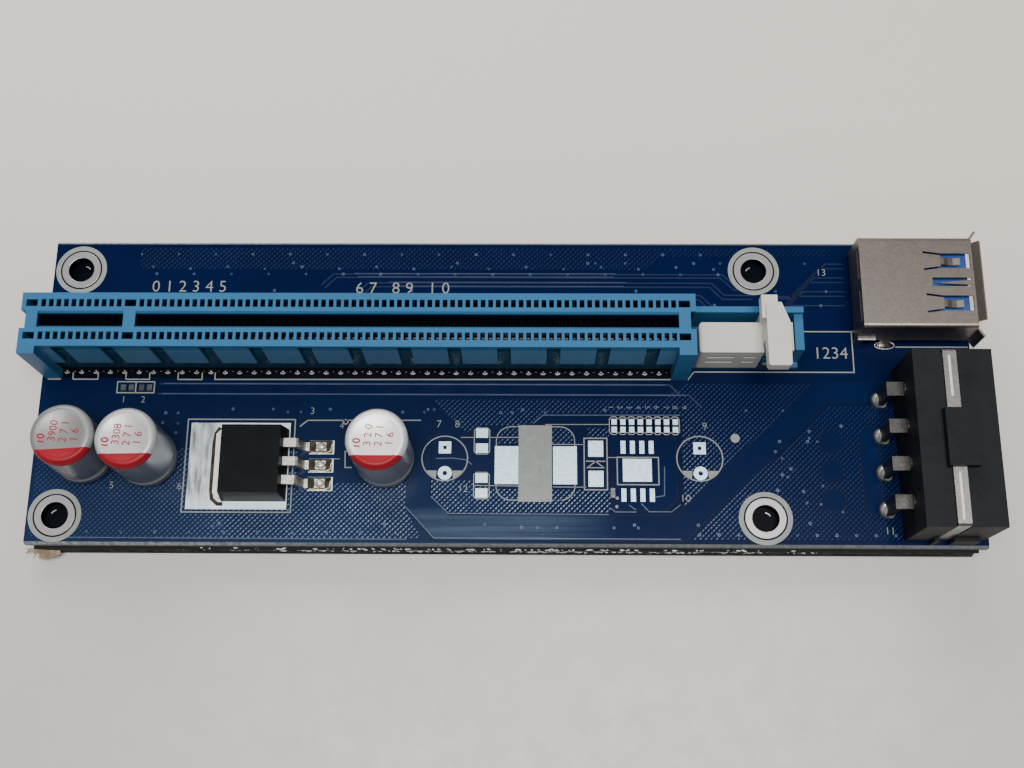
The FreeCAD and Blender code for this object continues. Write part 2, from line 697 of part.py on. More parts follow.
def make_usb_shell():
    body = new_body("usb_shell")
    place(body, y=usb_y, z=board_top)
    half_width = usb_width / 2
    outer = new_sketch(body, "shell_outer", "YZ_Plane", usb_rear_x)
    add_rounded_section(outer, half_width, usb_bottom, usb_top, usb_corner)
    add_feature(body, "Pad", "shell_tube", outer, usb_length)
    inner = new_sketch(body, "shell_inner", "YZ_Plane", usb_front_x)
    add_rounded_section(inner, half_width - usb_sheet, usb_bottom + usb_sheet, usb_top - usb_sheet,
                        usb_corner - usb_sheet)
    add_feature(body, "Pocket", "shell_hollow", inner, usb_length - usb_sheet)

    # lips that flare out round the mouth, one on each side with gaps at the corners
    for name, side in (("near", -1), ("far", 1)):
        lip = new_sketch(body, f"{name}_lip", "XY_Plane", usb_bottom + usb_corner)
        wall_out = half_width * side
        wall_in = (half_width - usb_sheet) * side
        lip_x = usb_front_x + usb_flare
        add_outline(lip, (
            (usb_front_x - 0.05, wall_in), (usb_front_x, wall_in), (lip_x, wall_out + usb_flare * side),
            (lip_x - 0.25, wall_out + (usb_flare + 0.2) * side), (usb_front_x - 0.05, wall_out),
        ))
        add_feature(body, "Pad", f"{name}_lip_pad", lip, usb_top - usb_bottom - usb_corner * 2)
    for name, level, side in (("lower", usb_bottom, -1), ("upper", usb_top, 1)):
        lip = new_sketch(body, f"{name}_lip", "XZ_Plane")
        add_outline(lip, (
            (usb_front_x - 0.05, level - usb_sheet * side), (usb_front_x, level - usb_sheet * side),
            (usb_front_x + usb_flare, level + (usb_flare - 0.3) * side),
            (usb_front_x + usb_flare - 0.25, level + (usb_flare - 0.1) * side), (usb_front_x - 0.05, level),
        ))
        add_feature(body, "Pad", f"{name}_lip_pad", lip, usb_width - usb_corner * 3, midplane=True)

    # legs that hold the shell to the board
    legs = new_sketch(body, "board_legs", "XZ_Plane")
    half_leg = usb_leg_width / 2
    leg_root = usb_bottom + usb_corner + 0.5
    add_rectangle(legs, usb_leg_x - half_leg, -board_thickness, usb_leg_x + half_leg, leg_root)
    add_rectangle(legs, usb_rear_x, 0, usb_rear_x + usb_foot_width, leg_root)
    add_feature(body, "Pad", "leg_pad", legs, usb_width, midplane=True)
    between = new_sketch(body, "between_legs", "XZ_Plane")
    add_rectangle(between, usb_rear_x - 1, -board_thickness - 1, usb_leg_x + half_leg + 1, usb_bottom)
    add_feature(body, "Pocket", "leg_gap", between, usb_width - usb_sheet * 2, midplane=True)
    hollow = new_sketch(body, "leg_hollow", "YZ_Plane", usb_front_x)
    add_rounded_section(hollow, half_width - usb_sheet, usb_bottom + usb_sheet, usb_top - usb_sheet,
                        usb_corner - usb_sheet)
    add_feature(body, "Pocket", "leg_hollow_cut", hollow, usb_length - usb_sheet)

    # openings in the top: two sprung fingers, and the tongue that locks the folded sheet between them
    top = new_sketch(body, "top_openings", "XY_Plane", usb_top)
    root = usb_front_x - 0.3 - spring_length
    neck = root + 2.3
    mouth = usb_front_x - 0.4
    half_neck = spring_width / 2
    slit = spring_slit
    for side in (-1, 1):
        middle = spring_spacing * (side / 2)
        window = half_neck + slit
        add_outline(top, (
            (root, middle + half_neck + 0.6), (neck, middle + window), (mouth, middle + window),
            (mouth, middle - window), (neck, middle - window), (root, middle - half_neck - 0.6),
            (root, middle - half_neck - 0.3), (neck, middle - half_neck), (neck, middle + half_neck),
            (root, middle + half_neck + 0.3),
        ))
    add_outline(top, (
        (root + 1.0, -0.62), (root + 1.0, 0.62), (mouth, 0.62), (mouth, 0.32), (root + 1.7, -0.2),
        (mouth, -0.42), (mouth, -0.62),
    ))
    add_feature(body, "Pocket", "top_opening_pocket", top, usb_sheet * 2)
    for name, side in (("near", -1), ("far", 1)):
        half_tip = spring_tip_width / 2
        finger = new_sketch(body, f"{name}_finger_tip", "XZ_Plane", -(spring_spacing * (side / 2) + half_tip))
        top_face = usb_top
        under = usb_top - usb_sheet
        add_outline(finger, (
            (neck - 0.1, top_face), (neck - 0.1, under), (neck + 0.4, under - 0.06),
            (neck + 1.0, under - 0.32), (neck + 1.9, under - 0.42), (neck + 2.7, under - 0.15),
            (neck + 2.7, under + 0.1), (neck + 1.8, under - 0.14), (neck + 1.1, under - 0.05),
            (neck + 0.5, top_face - 0.06),
        ))
        add_feature(body, "Pad", f"{name}_finger_pad", finger, spring_tip_width)

    # slots in the back where the rear flap was folded
    back = new_sketch(body, "rear_slots", "YZ_Plane", usb_rear_x)
    for side in (-1, 1):
        edges = (half_width * (0.12 * side), half_width * (0.8 * side))
        low, high = sorted(edges, key=lambda edge: edge.value)
        add_rectangle(back, low, usb_top - 1.4, high, usb_top - 0.5)
    add_feature(body, "Pocket", "rear_slot_pocket", back, usb_sheet * 2, reverse=True)


def make_usb_insulator():
    body = new_body("usb_insulator")
    place(body, y=usb_y, z=board_top)
    block = new_sketch(body, "rear_block", "YZ_Plane", usb_rear_x + usb_sheet + usb_fit)
    inner_half = usb_width / 2 - usb_sheet - usb_fit
    add_rectangle(block, -inner_half + usb_corner, usb_bottom + usb_sheet, inner_half - usb_corner,
                  usb_top - usb_sheet)
    add_feature(body, "Pad", "rear_block_pad", block, usb_block_length)
    tongue = new_sketch(body, "tongue", "XY_Plane", usb_tongue_top - usb_tongue_thickness)
    half_tongue = usb_tongue_width / 2
    tongue_end = usb_front_x - 0.6
    add_outline(tongue, (
        (usb_rear_x + 1, -half_tongue), (tongue_end - 0.8, -half_tongue), (tongue_end, -half_tongue + 0.8),
        (tongue_end, half_tongue - 0.8), (tongue_end - 0.8, half_tongue), (usb_rear_x + 1, half_tongue),
    ))
    add_feature(body, "Pad", "tongue_pad", tongue, usb_tongue_thickness)
    # recesses that the contacts lie in
    seats = new_sketch(body, "contact_seats", "XY_Plane", usb_tongue_top - usb_tongue_thickness)
    for offset in usb_contact_offsets:
        add_rectangle(seats, usb_rear_x + usb_block_length + 0.2, offset - 0.55,
                      tongue_end - 1.2, offset + 0.55)
    add_feature(body, "Pocket", "contact_seat_pocket", seats, usb_contact_sheet, reverse=True)


def make_usb_contacts():
    under = usb_tongue_top - usb_tongue_thickness
    start = usb_rear_x + usb_sheet + usb_fit + usb_block_length + usb_fit
    blades = []
    for index, offset in enumerate(usb_contact_offsets, 1):
        blade = part_box(f"usb_blade_{index}", start, usb_y + offset - 0.5, board_top + under,
                         usb_length - usb_block_length - 2.6, 1.0, usb_contact_sheet)
        blades.append(blade)
    part_group("usb_contacts", blades)


def part_group(label, pieces):
    group = doc.addObject("Part::Compound", label)
    group.Label = label
    group.Links = pieces
    return group


# power inlet

def make_power_housing():
    body = new_body("power_housing")
    place(body, y=power_y, z=board_top)
    half_width = power_width / 2
    front = power_rear_x + power_depth
    block = new_sketch(body, "inlet_block", "YZ_Plane", power_rear_x)
    add_rectangle(block, -half_width, 0, half_width, power_height)
    add_feature(body, "Pad", "inlet_block_pad", block, power_depth)

    # cavity with two cut corners, so that the plug fits one way up
    cavity = new_sketch(body, "inlet_cavity", "YZ_Plane", front)
    inner = half_width - power_wall
    low, high, corner = power_wall, power_height - power_wall, 2.0
    add_outline(cavity, (
        (-inner, low), (inner, low), (inner, high - corner), (inner - corner, high),
        (corner - inner, high), (-inner, high - corner),
    ))
    add_feature(body, "Pocket", "inlet_cavity_pocket", cavity, power_depth - power_rear_wall)

    # bridge over the hold-down strap
    bridge = new_sketch(body, "strap_bridge", "XY_Plane", power_height - 0.1)
    add_rectangle(bridge, strap_x - bridge_width / 2 + 0.5, -bridge_length / 2 - 0.3,
                  strap_x + bridge_width / 2 + 0.5, bridge_length / 2 - 0.3)
    add_feature(body, "Pad", "strap_bridge_pad", bridge, bridge_height + 0.1)
    channel = new_sketch(body, "strap_channel", "XY_Plane", power_height)
    half_strap = strap_width / 2 + strap_side_gap
    add_rectangle(channel, strap_x - half_strap, -bridge_length, strap_x + half_strap, bridge_length)
    add_feature(body, "Pocket", "strap_channel_cut", channel, strap_thickness + strap_side_gap, reverse=True)
    for name, side in (("near", -1), ("far", 1)):
        groove = new_sketch(body, f"{name}_strap_groove", "XY_Plane")
        edges = ((half_width - strap_groove_depth) * side, (half_width + 1) * side)
        start, end = sorted(edges, key=lambda edge: edge.value)
        add_rectangle(groove, strap_x - half_strap, start, strap_x + half_strap, end)
        add_feature(body, "Pocket", f"{name}_strap_groove_cut", groove, power_height, reverse=True)

    # foot beside the near strap leg
    foot = new_sketch(body, "near_foot", "XY_Plane")
    for start, end in ((strap_x + half_strap, strap_x + half_strap + 3.4),
                       (strap_x - half_strap - 0.6, strap_x - half_strap)):
        add_rectangle(foot, start, -half_width - 0.55, end, -half_width + 0.3)
    add_feature(body, "Pad", "near_foot_pad", foot, 3.0)

    # holes for the four pins through the rear wall
    holes = new_sketch(body, "pin_holes", "YZ_Plane", power_rear_x)
    for index in range(4):
        middle = power_pin_pitch * (index - 1.5)
        add_circle(holes, middle, power_pin_height, power_pin_radius)
    add_feature(body, "Pocket", "pin_hole_pocket", holes, power_rear_wall + 0.5, reverse=True)


def make_power_pin(number):
    """A round pin in the cavity whose flat tail leaves the back and turns down into the board."""
    middle = power_y + power_pin_pitch * (number - 2.5)
    pin = doc.addObject("Part::Cylinder", f"pin_{number}_post")
    pin.setExpression("Radius", power_pin_radius.formula)
    pin.setExpression("Height", (power_depth - 1.6).formula)
    pin.Placement = Placement(Vector(0, 0, 0), Rotation(Vector(0, 1, 0), 90))
    place(pin, power_rear_x - 0.2, middle, board_top + power_pin_height)
    half_tail = power_tail_width / 2
    level = board_top + power_pin_height + power_tail_thickness / 2
    left = power_rear_x - power_tail_reach
    run = part_box(f"pin_{number}_run", left, middle - half_tail, level - power_tail_thickness,
                   power_tail_reach - 0.15, power_tail_width, power_tail_thickness)
    drop = part_box(f"pin_{number}_drop", left, middle - half_tail, board_under,
                    power_tail_thickness, power_tail_width, level - board_under)
    part_union(f"power_pin_{number}", [pin, run, drop])


def make_power_strap():
    body = new_body("power_strap")
    place(body, strap_x, power_y, board_top)
    half_width = power_width / 2 - strap_groove_depth
    level = power_height
    band = new_sketch(body, "strap_band", "YZ_Plane")
    thick = strap_thickness
    add_outline(band, (
        (-half_width - thick, 0), (-half_width, 0), (-half_width, level), (half_width, level),
        (half_width, 0), (half_width + thick, 0), (half_width + thick, level + thick - 0.3),
        (half_width + thick - 0.3, level + thick), (-half_width - thick + 0.3, level + thick),
        (-half_width - thick, level + thick - 0.3),
    ))
    add_feature(body, "Pad", "strap_band_pad", band, strap_width, midplane=True)


# capacitors

def revolve_body(label, points):
    """A body turned from a half section about Z."""
    body = new_body(label)
    section = new_sketch(body, f"{label}_section", "XZ_Plane")
    add_outline(section, points)
    turn = body.newObject("PartDesign::Revolution", f"{label}_turn")
    turn.Profile = section
    turn.ReferenceAxis = (section, ["V_Axis"])
    turn.Angle = 360
    section.Visibility = False
    return body


def make_capacitor(number, x, y, lean):
    edge, top = can_radius, can_height
    can = revolve_body(f"capacitor_can_{number}", (
        (can_radius - can_wall - 0.5, 0), (edge - 0.35, 0), (edge, 0.35), (edge, 1.5), (edge - 0.4, 1.9),
        (edge - 0.4, 2.2), (edge, 2.6), (edge, top - 0.7), (edge - 0.25, top - 0.2), (edge - 0.75, top),
        (edge - 1.05, top - 0.15), (0.001, top - 0.15), (0.001, seal_height),
        (edge - can_wall - 0.5, seal_height),
    ))
    seal = revolve_body(f"capacitor_seal_{number}", (
        (0.001, seal_recess), (edge - can_wall - 0.5, seal_recess), (edge - can_wall - 0.5, seal_height),
        (0.001, seal_height),
    ))
    lift = can_lift + can_lean_lift if lean else can_lift
    for body in (can, seal):
        body.Placement = Placement(Vector(0, 0, 0), Rotation(Vector(0, 1, 0), lean))
        place(body, x, y, board_top + lift)
    wires = []
    for side in (-1, 1):
        wire = doc.addObject("Part::Cylinder", f"capacitor_{number}_wire_{side + 2}")
        wire.setExpression("Radius", lead_radius.formula)
        wire.setExpression("Height", (board_thickness + lift + seal_recess).formula)
        place(wire, x, y + lead_pitch * (side / 2), board_under)
        wires.append(wire)
    part_group(f"capacitor_leads_{number}", wires)


# voltage regulator

def make_regulator():
    body = new_body("regulator_body")
    place(body, regulator_x, regulator_y, board_top)
    half_length, half_width = regulator_length / 2, regulator_width / 2
    foot = new_sketch(body, "body_foot", "XY_Plane", mould_gap)
    add_rectangle(foot, -half_length, -half_width, half_length, half_width)
    crown = new_sketch(body, "body_crown", "XY_Plane", regulator_height)
    add_rectangle(crown, -half_length + regulator_draft, -half_width + regulator_draft,
                  half_length - regulator_draft, half_width - regulator_draft)
    mould = body.newObject("PartDesign::AdditiveLoft", "moulded_body")
    mould.Profile = foot
    mould.Sections = [crown]
    mould.Ruled = True
    seat = new_sketch(body, "tab_seat", "XY_Plane", 0)
    add_rectangle(seat, -half_length - 1, -half_width + 0.3, half_length - 1.2, half_width - 0.3)
    add_feature(body, "Pocket", "tab_seat_pocket", seat, tab_thickness, reverse=True)

    tab = new_body("regulator_tab")
    place(tab, regulator_x, regulator_y, board_top)
    plate = new_sketch(tab, "tab_plate", "XY_Plane")
    left = -half_length - tab_reach
    reach = half_width - 0.3
    add_outline(plate, (
        (left, -reach + 0.6), (left + 0.6, -reach), (half_length - 1.2, -reach), (half_length - 1.2, reach),
        (left + 0.6, reach), (left, reach - 0.6),
    ))
    add_feature(tab, "Pad", "tab_plate_pad", plate, tab_thickness)


def make_regulator_leg(number):
    """A gull-wing lead from the body's side to its pad on the board."""
    body = new_body(f"regulator_leg_{number}")
    place(body, regulator_x, regulator_y + leg_pitch * (number - 2), board_top)
    start = regulator_length / 2
    slope = regulator_draft / (regulator_height - mould_gap)
    top = leg_exit_height + leg_thickness
    low_start = start - slope * (leg_exit_height - mould_gap)
    high_start = start - slope * (top - mould_gap)
    bend = start + 1.4
    toe = start + leg_reach
    profile = new_sketch(body, f"leg_{number}_profile", "XZ_Plane")
    add_outline(profile, (
        (low_start, leg_exit_height), (bend - 0.2, leg_exit_height), (bend + 0.5, 0), (toe, 0),
        (toe, leg_thickness), (bend + 1.0, leg_thickness), (bend + 0.35, top - 0.2),
        (bend + 0.05, top), (high_start, top),
    ))
    add_feature(body, "Pad", f"leg_{number}_pad", profile, leg_width, midplane=True)


# build, test and write

make_board()
make_pad()
make_scrap()
make_slot_housing()
make_slot_contacts("slot_contacts_far", 1)
make_slot_contacts("slot_contacts_near", -1)
make_latch()
make_usb_shell()
make_usb_insulator()
make_usb_contacts()
make_power_housing()
for pin_number in (1, 2, 3, 4):
    make_power_pin(pin_number)
make_power_strap()
for can_number, (can_x, can_y) in enumerate(can_centres, 1):
    make_capacitor(can_number, can_x, can_y, can_lean.value if can_number == 1 else 0)
make_regulator()
for leg_number in (1, 2, 3):
    make_regulator_leg(leg_number)
doc.recompute()

node_names = [
    "circuit_board", "insulating_pad", "torn_tape_scrap",
    "slot_housing", "slot_contacts_far", "slot_contacts_near", "slot_latch",
    "usb_shell", "usb_insulator", "usb_contacts",
    "power_housing", "power_strap", "regulator_body", "regulator_tab",
]
node_names += [f"power_pin_{number}" for number in (1, 2, 3, 4)]
node_names += [f"regulator_leg_{number}" for number in (1, 2, 3)]
for number in (1, 2, 3):
    node_names += [f"capacitor_can_{number}", f"capacitor_seal_{number}", f"capacitor_leads_{number}"]

for item in doc.Objects:
    if "Invalid" in item.State or "Error" in item.State:
        raise RuntimeError(f"{item.Name} failed: {item.State}")
nodes = {name: doc.getObjectsByLabel(name)[0] for name in node_names}
for name, item in nodes.items():
    if item.Shape.isNull() or not item.Shape.isValid():
        raise RuntimeError(f"{name} has no valid shape")
os.makedirs("parts", exist_ok=True)
for name, item in nodes.items():
    item.Shape.exportStep(f"parts/{name}.step")
    box = item.Shape.BoundBox
    print(f"{name}: {len(item.Shape.Solids)} solid(s), {item.Shape.Volume:.1f} mm3, "
          f"x {box.XMin:.2f}..{box.XMax:.2f}, y {box.YMin:.2f}..{box.YMax:.2f}, "
          f"z {box.ZMin:.2f}..{box.ZMax:.2f}")
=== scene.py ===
import json
import math
import random
import bmesh
import bpy
from mathutils import Euler, Matrix, Vector

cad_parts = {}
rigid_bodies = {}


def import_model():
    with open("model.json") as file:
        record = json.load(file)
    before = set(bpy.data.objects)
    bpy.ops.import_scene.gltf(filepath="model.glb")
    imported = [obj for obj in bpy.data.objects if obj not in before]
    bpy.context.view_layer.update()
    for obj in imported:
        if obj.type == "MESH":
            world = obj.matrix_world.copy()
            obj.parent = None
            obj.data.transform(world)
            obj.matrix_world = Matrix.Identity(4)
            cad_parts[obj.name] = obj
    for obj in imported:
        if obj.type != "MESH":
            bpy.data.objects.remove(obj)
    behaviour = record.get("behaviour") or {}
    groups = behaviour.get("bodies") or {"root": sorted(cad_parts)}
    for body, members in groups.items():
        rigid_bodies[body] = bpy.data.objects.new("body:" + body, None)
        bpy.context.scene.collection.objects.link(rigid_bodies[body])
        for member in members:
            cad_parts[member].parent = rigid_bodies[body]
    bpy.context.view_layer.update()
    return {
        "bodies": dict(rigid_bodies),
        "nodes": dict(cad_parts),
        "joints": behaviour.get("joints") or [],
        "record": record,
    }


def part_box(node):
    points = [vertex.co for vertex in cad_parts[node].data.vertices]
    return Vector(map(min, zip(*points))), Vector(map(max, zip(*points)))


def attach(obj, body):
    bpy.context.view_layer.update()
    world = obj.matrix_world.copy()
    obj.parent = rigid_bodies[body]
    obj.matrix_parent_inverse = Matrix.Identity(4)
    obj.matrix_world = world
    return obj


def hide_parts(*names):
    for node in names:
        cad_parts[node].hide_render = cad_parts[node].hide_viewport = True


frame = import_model()
mm = 0.001
random.seed(7)
draw = random.uniform

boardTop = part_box("circuit_board")[1].z / mm
nodes = frame["nodes"]
print("frame loaded, board top at", round(boardTop, 2), "mm")


# shader building

def addNode(tree, kind, inputs=None, **settings):
    node = tree.nodes.new(kind)
    for key, value in settings.items():
        setattr(node, key, value)
    for key, value in (inputs or {}).items():
        if isinstance(value, bpy.types.NodeSocket):
            tree.links.new(value, node.inputs[key])
        else:
            node.inputs[key].default_value = value
    return node


def feed(node, value, name="Base Color"):
    node.id_data.links.new(value, node.inputs[name])


def mathNode(tree, operation, first, second=0, third=0):
    return addNode(tree, "ShaderNodeMath", {0: first, 1: second, 2: third}, operation=operation).outputs[0]


def mixColour(tree, mask, colourA, colourB):
    inputs = {"Factor": mask, 6: colourA, 7: colourB}
    return addNode(tree, "ShaderNodeMix", inputs, data_type="RGBA").outputs[2]


def spread(tree, value, low, high, newLow=0, newHigh=1):
    inputs = {0: value, 1: low, 2: high, 3: newLow, 4: newHigh}
    return addNode(tree, "ShaderNodeMapRange", inputs, clamp=True).outputs[0]


def rgb(red, green, blue):
    return (red, green, blue, 1)


def product(tree, first, *others):
    for other in others:
        first = mathNode(tree, "MULTIPLY", first, other)
    return first


def between(tree, value, low, high):
    return product(tree, mathNode(tree, "GREATER_THAN", value, low), mathNode(tree, "LESS_THAN", value, high))


def noise(tree, place, scale, detail=2, roughness=0.5):
    inputs = {"Vector": place, "Scale": scale, "Detail": detail, "Roughness": roughness}
    return addNode(tree, "ShaderNodeTexNoise", inputs).outputs["Fac"]


def objectPlace(tree):
    place = addNode(tree, "ShaderNodeTexCoord").outputs["Object"]
    return place, addNode(tree, "ShaderNodeSeparateXYZ", {0: place}).outputs


def vectorNode(tree, operation, place, other=(0, 0, 0)):
    return addNode(tree, "ShaderNodeVectorMath", {0: place, 1: other}, operation=operation).outputs


def buildGroup(name, inputs, outputs):
    group = bpy.data.node_groups.new(name, "ShaderNodeTree")
    for label, kind, value in inputs:
        socket = group.interface.new_socket(name=label, in_out="INPUT", socket_type=kind)
        socket.default_value = value
    for label, kind in outputs:
        group.interface.new_socket(name=label, in_out="OUTPUT", socket_type=kind)
    return group, group.nodes.new("NodeGroupInput"), group.nodes.new("NodeGroupOutput")


def buildGrain():
    group, given, result = buildGroup("surfaceGrain", (
        ("Colour A", "NodeSocketColor", rgb(0.5, 0.5, 0.5)),
        ("Colour B", "NodeSocketColor", rgb(0.4, 0.4, 0.4)),
        ("Patch Scale", "NodeSocketFloat", 120),
        ("Rough Low", "NodeSocketFloat", 0.3),
        ("Rough High", "NodeSocketFloat", 0.5),
        ("Grain Scale", "NodeSocketFloat", 3000),
        ("Grain Height", "NodeSocketFloat", 0.00001),
    ), (
        ("Colour", "NodeSocketColor"), ("Roughness", "NodeSocketFloat"), ("Normal", "NodeSocketVector"),
        ("Patches", "NodeSocketFloat"),
    ))
    place = addNode(group, "ShaderNodeTexCoord").outputs["Object"]
    mask = spread(group, noise(group, place, given.outputs["Patch Scale"], 4, 0.6), 0.3, 0.7)
    grain = noise(group, place, given.outputs["Grain Scale"])
    colour = mixColour(group, mask, given.outputs["Colour A"], given.outputs["Colour B"])
    both = mathNode(group, "MULTIPLY_ADD", grain, 0.5, mathNode(group, "MULTIPLY", mask, 0.5))
    rough = spread(group, both, 0.1, 0.9, given.outputs["Rough Low"], given.outputs["Rough High"])
    bump = {"Strength": 1, "Distance": given.outputs["Grain Height"], "Height": grain}
    normal = addNode(group, "ShaderNodeBump", bump).outputs[0]
    for label, value in (("Colour", colour), ("Roughness", rough), ("Normal", normal), ("Patches", mask)):
        feed(result, value, label)
    return group


surfaceGrain = buildGrain()


# a finish: two colours, scale of the patches, range of roughness, scale of the grain and its height in
# micrometres, then how metallic it is and how much it shines

def finish(colourA, colourB, patches, rough, grain, metallic=0, specular=0.5):
    return {"Colour A": rgb(*colourA), "Colour B": rgb(*colourB), "Patch Scale": patches,
            "Rough Low": rough[0], "Rough High": rough[1], "Grain Scale": grain[0],
            "Grain Height": grain[1] * mm / 1000, "Metallic": metallic, "Specular IOR Level": specular}


def grainMaterial(name, look):
    material = bpy.data.materials.new(name)
    material.use_nodes = True
    tree = material.node_tree
    shader = tree.nodes["Principled BSDF"]
    grain = tree.nodes.new("ShaderNodeGroup")
    grain.node_tree = surfaceGrain
    for label, value in look.items():
        owner = grain if label in grain.inputs else shader
        owner.inputs[label].default_value = value
    for label, target in (("Colour", "Base Color"), ("Roughness", "Roughness"), ("Normal", "Normal")):
        feed(shader, grain.outputs[label], target)
    return material, tree, shader, grain


finishes = {
    "latchPlastic": ((0.56, 0.55, 0.515), (0.505, 0.495, 0.46), 160, (0.38, 0.52), (2600, 6), 0, 0.35),
    "inletPlastic": ((0.008, 0.009, 0.011), (0.013, 0.015, 0.018), 260, (0.42, 0.6), (1500, 30), 0, 0.1),
    "mouldEpoxy": ((0.0015, 0.002, 0.003), (0.0035, 0.004, 0.005), 260, (0.34, 0.48), (3800, 6), 0, 0.08),
    "shellNickel": ((0.275, 0.24, 0.212), (0.215, 0.19, 0.17), 900, (0.3, 0.44), (2600, 8), 1),
    "socketBlue": ((0.01, 0.062, 0.27), (0.008, 0.048, 0.22), 200, (0.35, 0.5), (2500, 10)),
    "tinPlate": ((0.74, 0.72, 0.68), (0.56, 0.54, 0.51), 900, (0.2, 0.4), (2600, 14), 1),
    "strapTin": ((0.33, 0.31, 0.295), (0.22, 0.205, 0.195), 500, (0.25, 0.45), (2600, 14), 1),
    "pinTin": ((0.115, 0.11, 0.105), (0.05, 0.048, 0.046), 900, (0.25, 0.45), (2600, 14), 0.9),
    "tabTin": ((0.82, 0.81, 0.76), (0.66, 0.65, 0.6), 500, (0.25, 0.4), (2600, 8), 0.25),
    "ringTin": ((0.42, 0.4, 0.42), (0.34, 0.32, 0.335), 300, (0.25, 0.35), (2600, 2), 0.6),
    "goldFlash": ((0.86, 0.64, 0.32), (0.74, 0.55, 0.28), 800, (0.2, 0.35), (3500, 4), 1),
    "contactSteel": ((0.2, 0.17, 0.17), (0.1, 0.095, 0.11), 800, (0.3, 0.5), (3500, 4), 1),
    "canAluminium": ((0.36, 0.36, 0.37), (0.3, 0.3, 0.31), 200, (0.26, 0.34), (2800, 2), 0.85),
    "sealRubber": ((0.01, 0.01, 0.01), (0.02, 0.02, 0.02), 120, (0.6, 0.8), (3000, 20)),
    "padTin": ((0.64, 0.83, 0.96), (0.52, 0.66, 0.77), 1500, (0.3, 0.55), (2400, 20), 0.35),
    "solderBright": ((0.74, 0.72, 0.66), (0.36, 0.35, 0.32), 1400, (0.16, 0.34), (1500, 30), 0.55),
    "dullSolder": ((0.3, 0.31, 0.33), (0.1, 0.1, 0.11), 700, (0.15, 0.3), (1500, 10), 0.9),
    "fluxDark": ((0.01, 0.009, 0.008), (0.06, 0.05, 0.035), 900, (0.15, 0.3), (1500, 10), 0, 0.2),
    "printWhite": ((0.265, 0.28, 0.262), (0.215, 0.235, 0.222), 1200, (0.45, 0.65), (4200, 10), 0, 0.2),
    "foamBlack": ((0.004, 0.004, 0.0045), (0.01, 0.01, 0.01), 900, (0.6, 0.9), (2200, 80), 0, 0.25),
    "flakeWhite": ((0.78, 0.78, 0.77), (0.3, 0.3, 0.3), 1400, (0.5, 0.8), (2400, 30)),
    "tapeFibre": ((0.4, 0.31, 0.21), (0.18, 0.125, 0.07), 900, (0.6, 0.85), (2600, 60)),
    "maskEdge": ((0.0004, 0.0026, 0.015), (0.0006, 0.0034, 0.02), 160, (0.2, 0.28), (1500, 6), 0, 0.15),
    "traceBlue": ((0.0035, 0.013, 0.058), (0.0025, 0.01, 0.047), 300, (0.26, 0.36), (1500, 6), 0, 0.3),
    "traceLit": ((0.085, 0.1, 0.17), (0.03, 0.045, 0.11), 260, (0.26, 0.36), (1500, 6), 0, 0.3),
    "maskShadow": ((0.001, 0.0016, 0.0045), (0.0016, 0.0022, 0.006), 300, (0.3, 0.4), (1500, 6), 0, 0.05),
    "maskLight": ((0.085, 0.12, 0.19), (0.035, 0.06, 0.12), 900, (0.26, 0.4), (1500, 6), 0, 0.3),
    "printRed": ((0.34, 0.01, 0.02), (0.27, 0.008, 0.016), 900, (0.35, 0.5), (3500, 4), 0, 0.2),
    "viaTin": ((0.07, 0.115, 0.2), (0.02, 0.045, 0.11), 900, (0.2, 0.4), (2000, 10)),
}
materials = {name: grainMaterial(name, finish(*row))[0] for name, row in finishes.items()}


# navy mask over copper; a paler painted sheen, the lamp's reflection painted into the colour, lies on the
# front left half of the card
boardLook = {
    "colours": ((0.0009, 0.0064, 0.04), (0.0007, 0.005, 0.032)), "rough": (0.19, 0.25), "specular": 0.07,
    "sheen": rgb(0.013, 0.028, 0.07), "sheenShare": 0.75, "sheenFrom": (18, 2), "sheenTo": (-12, -21),
    "laminate": rgb(0.27, 0.27, 0.275), "laminateB": rgb(0.12, 0.14, 0.15), "fibreScale": 1600,
    "laminateDull": rgb(0.085, 0.105, 0.12), "dullFrom": -45, "dullTo": -25,
}


def addSheen(tree, colour):
    # painted sheen: the mask paler towards the front left, where the lamp's reflection falls
    axes = objectPlace(tree)[1]
    shares = [spread(tree, axes[axis], start * mm, end * mm)
              for axis, start, end in zip("XY", boardLook["sheenFrom"], boardLook["sheenTo"])]
    return mixColour(tree, product(tree, *shares, boardLook["sheenShare"]), colour, boardLook["sheen"])


def maskMaterial(name, colours, patchScale=60):
    look = finish(*colours, patchScale, boardLook["rough"], (1400, 5), specular=boardLook["specular"])
    material, tree, shader, grain = grainMaterial(name, look)
    return material, tree, shader, grain, addSheen(tree, grain.outputs["Colour"])


def boardMaterial():
    material, tree, shader, grain, base = maskMaterial("boardMask", boardLook["colours"])
    place, axes = objectPlace(tree)
    facing = addNode(tree, "ShaderNodeTexCoord").outputs["Normal"]
    upward = addNode(tree, "ShaderNodeSeparateXYZ", {0: facing}).outputs["Z"]
    side = spread(tree, mathNode(tree, "ABSOLUTE", upward), 0.85, 0.95, 1, 0)  # sawn edges, bare laminate
    fibre = spread(tree, noise(tree, place, boardLook["fibreScale"], 3), 0.35, 0.65)
    sawn = mixColour(tree, fibre, boardLook["laminate"], boardLook["laminateB"])
    dull = spread(tree, axes["X"], boardLook["dullFrom"] * mm, boardLook["dullTo"] * mm, 0, 0.65)
    sawn = mixColour(tree, dull, sawn, boardLook["laminateDull"])
    feed(shader, mixColour(tree, side, base, sawn))
    feed(shader, spread(tree, side, 0, 1, boardLook["rough"][0] + 0.05, 0.8), "Roughness")
    return material
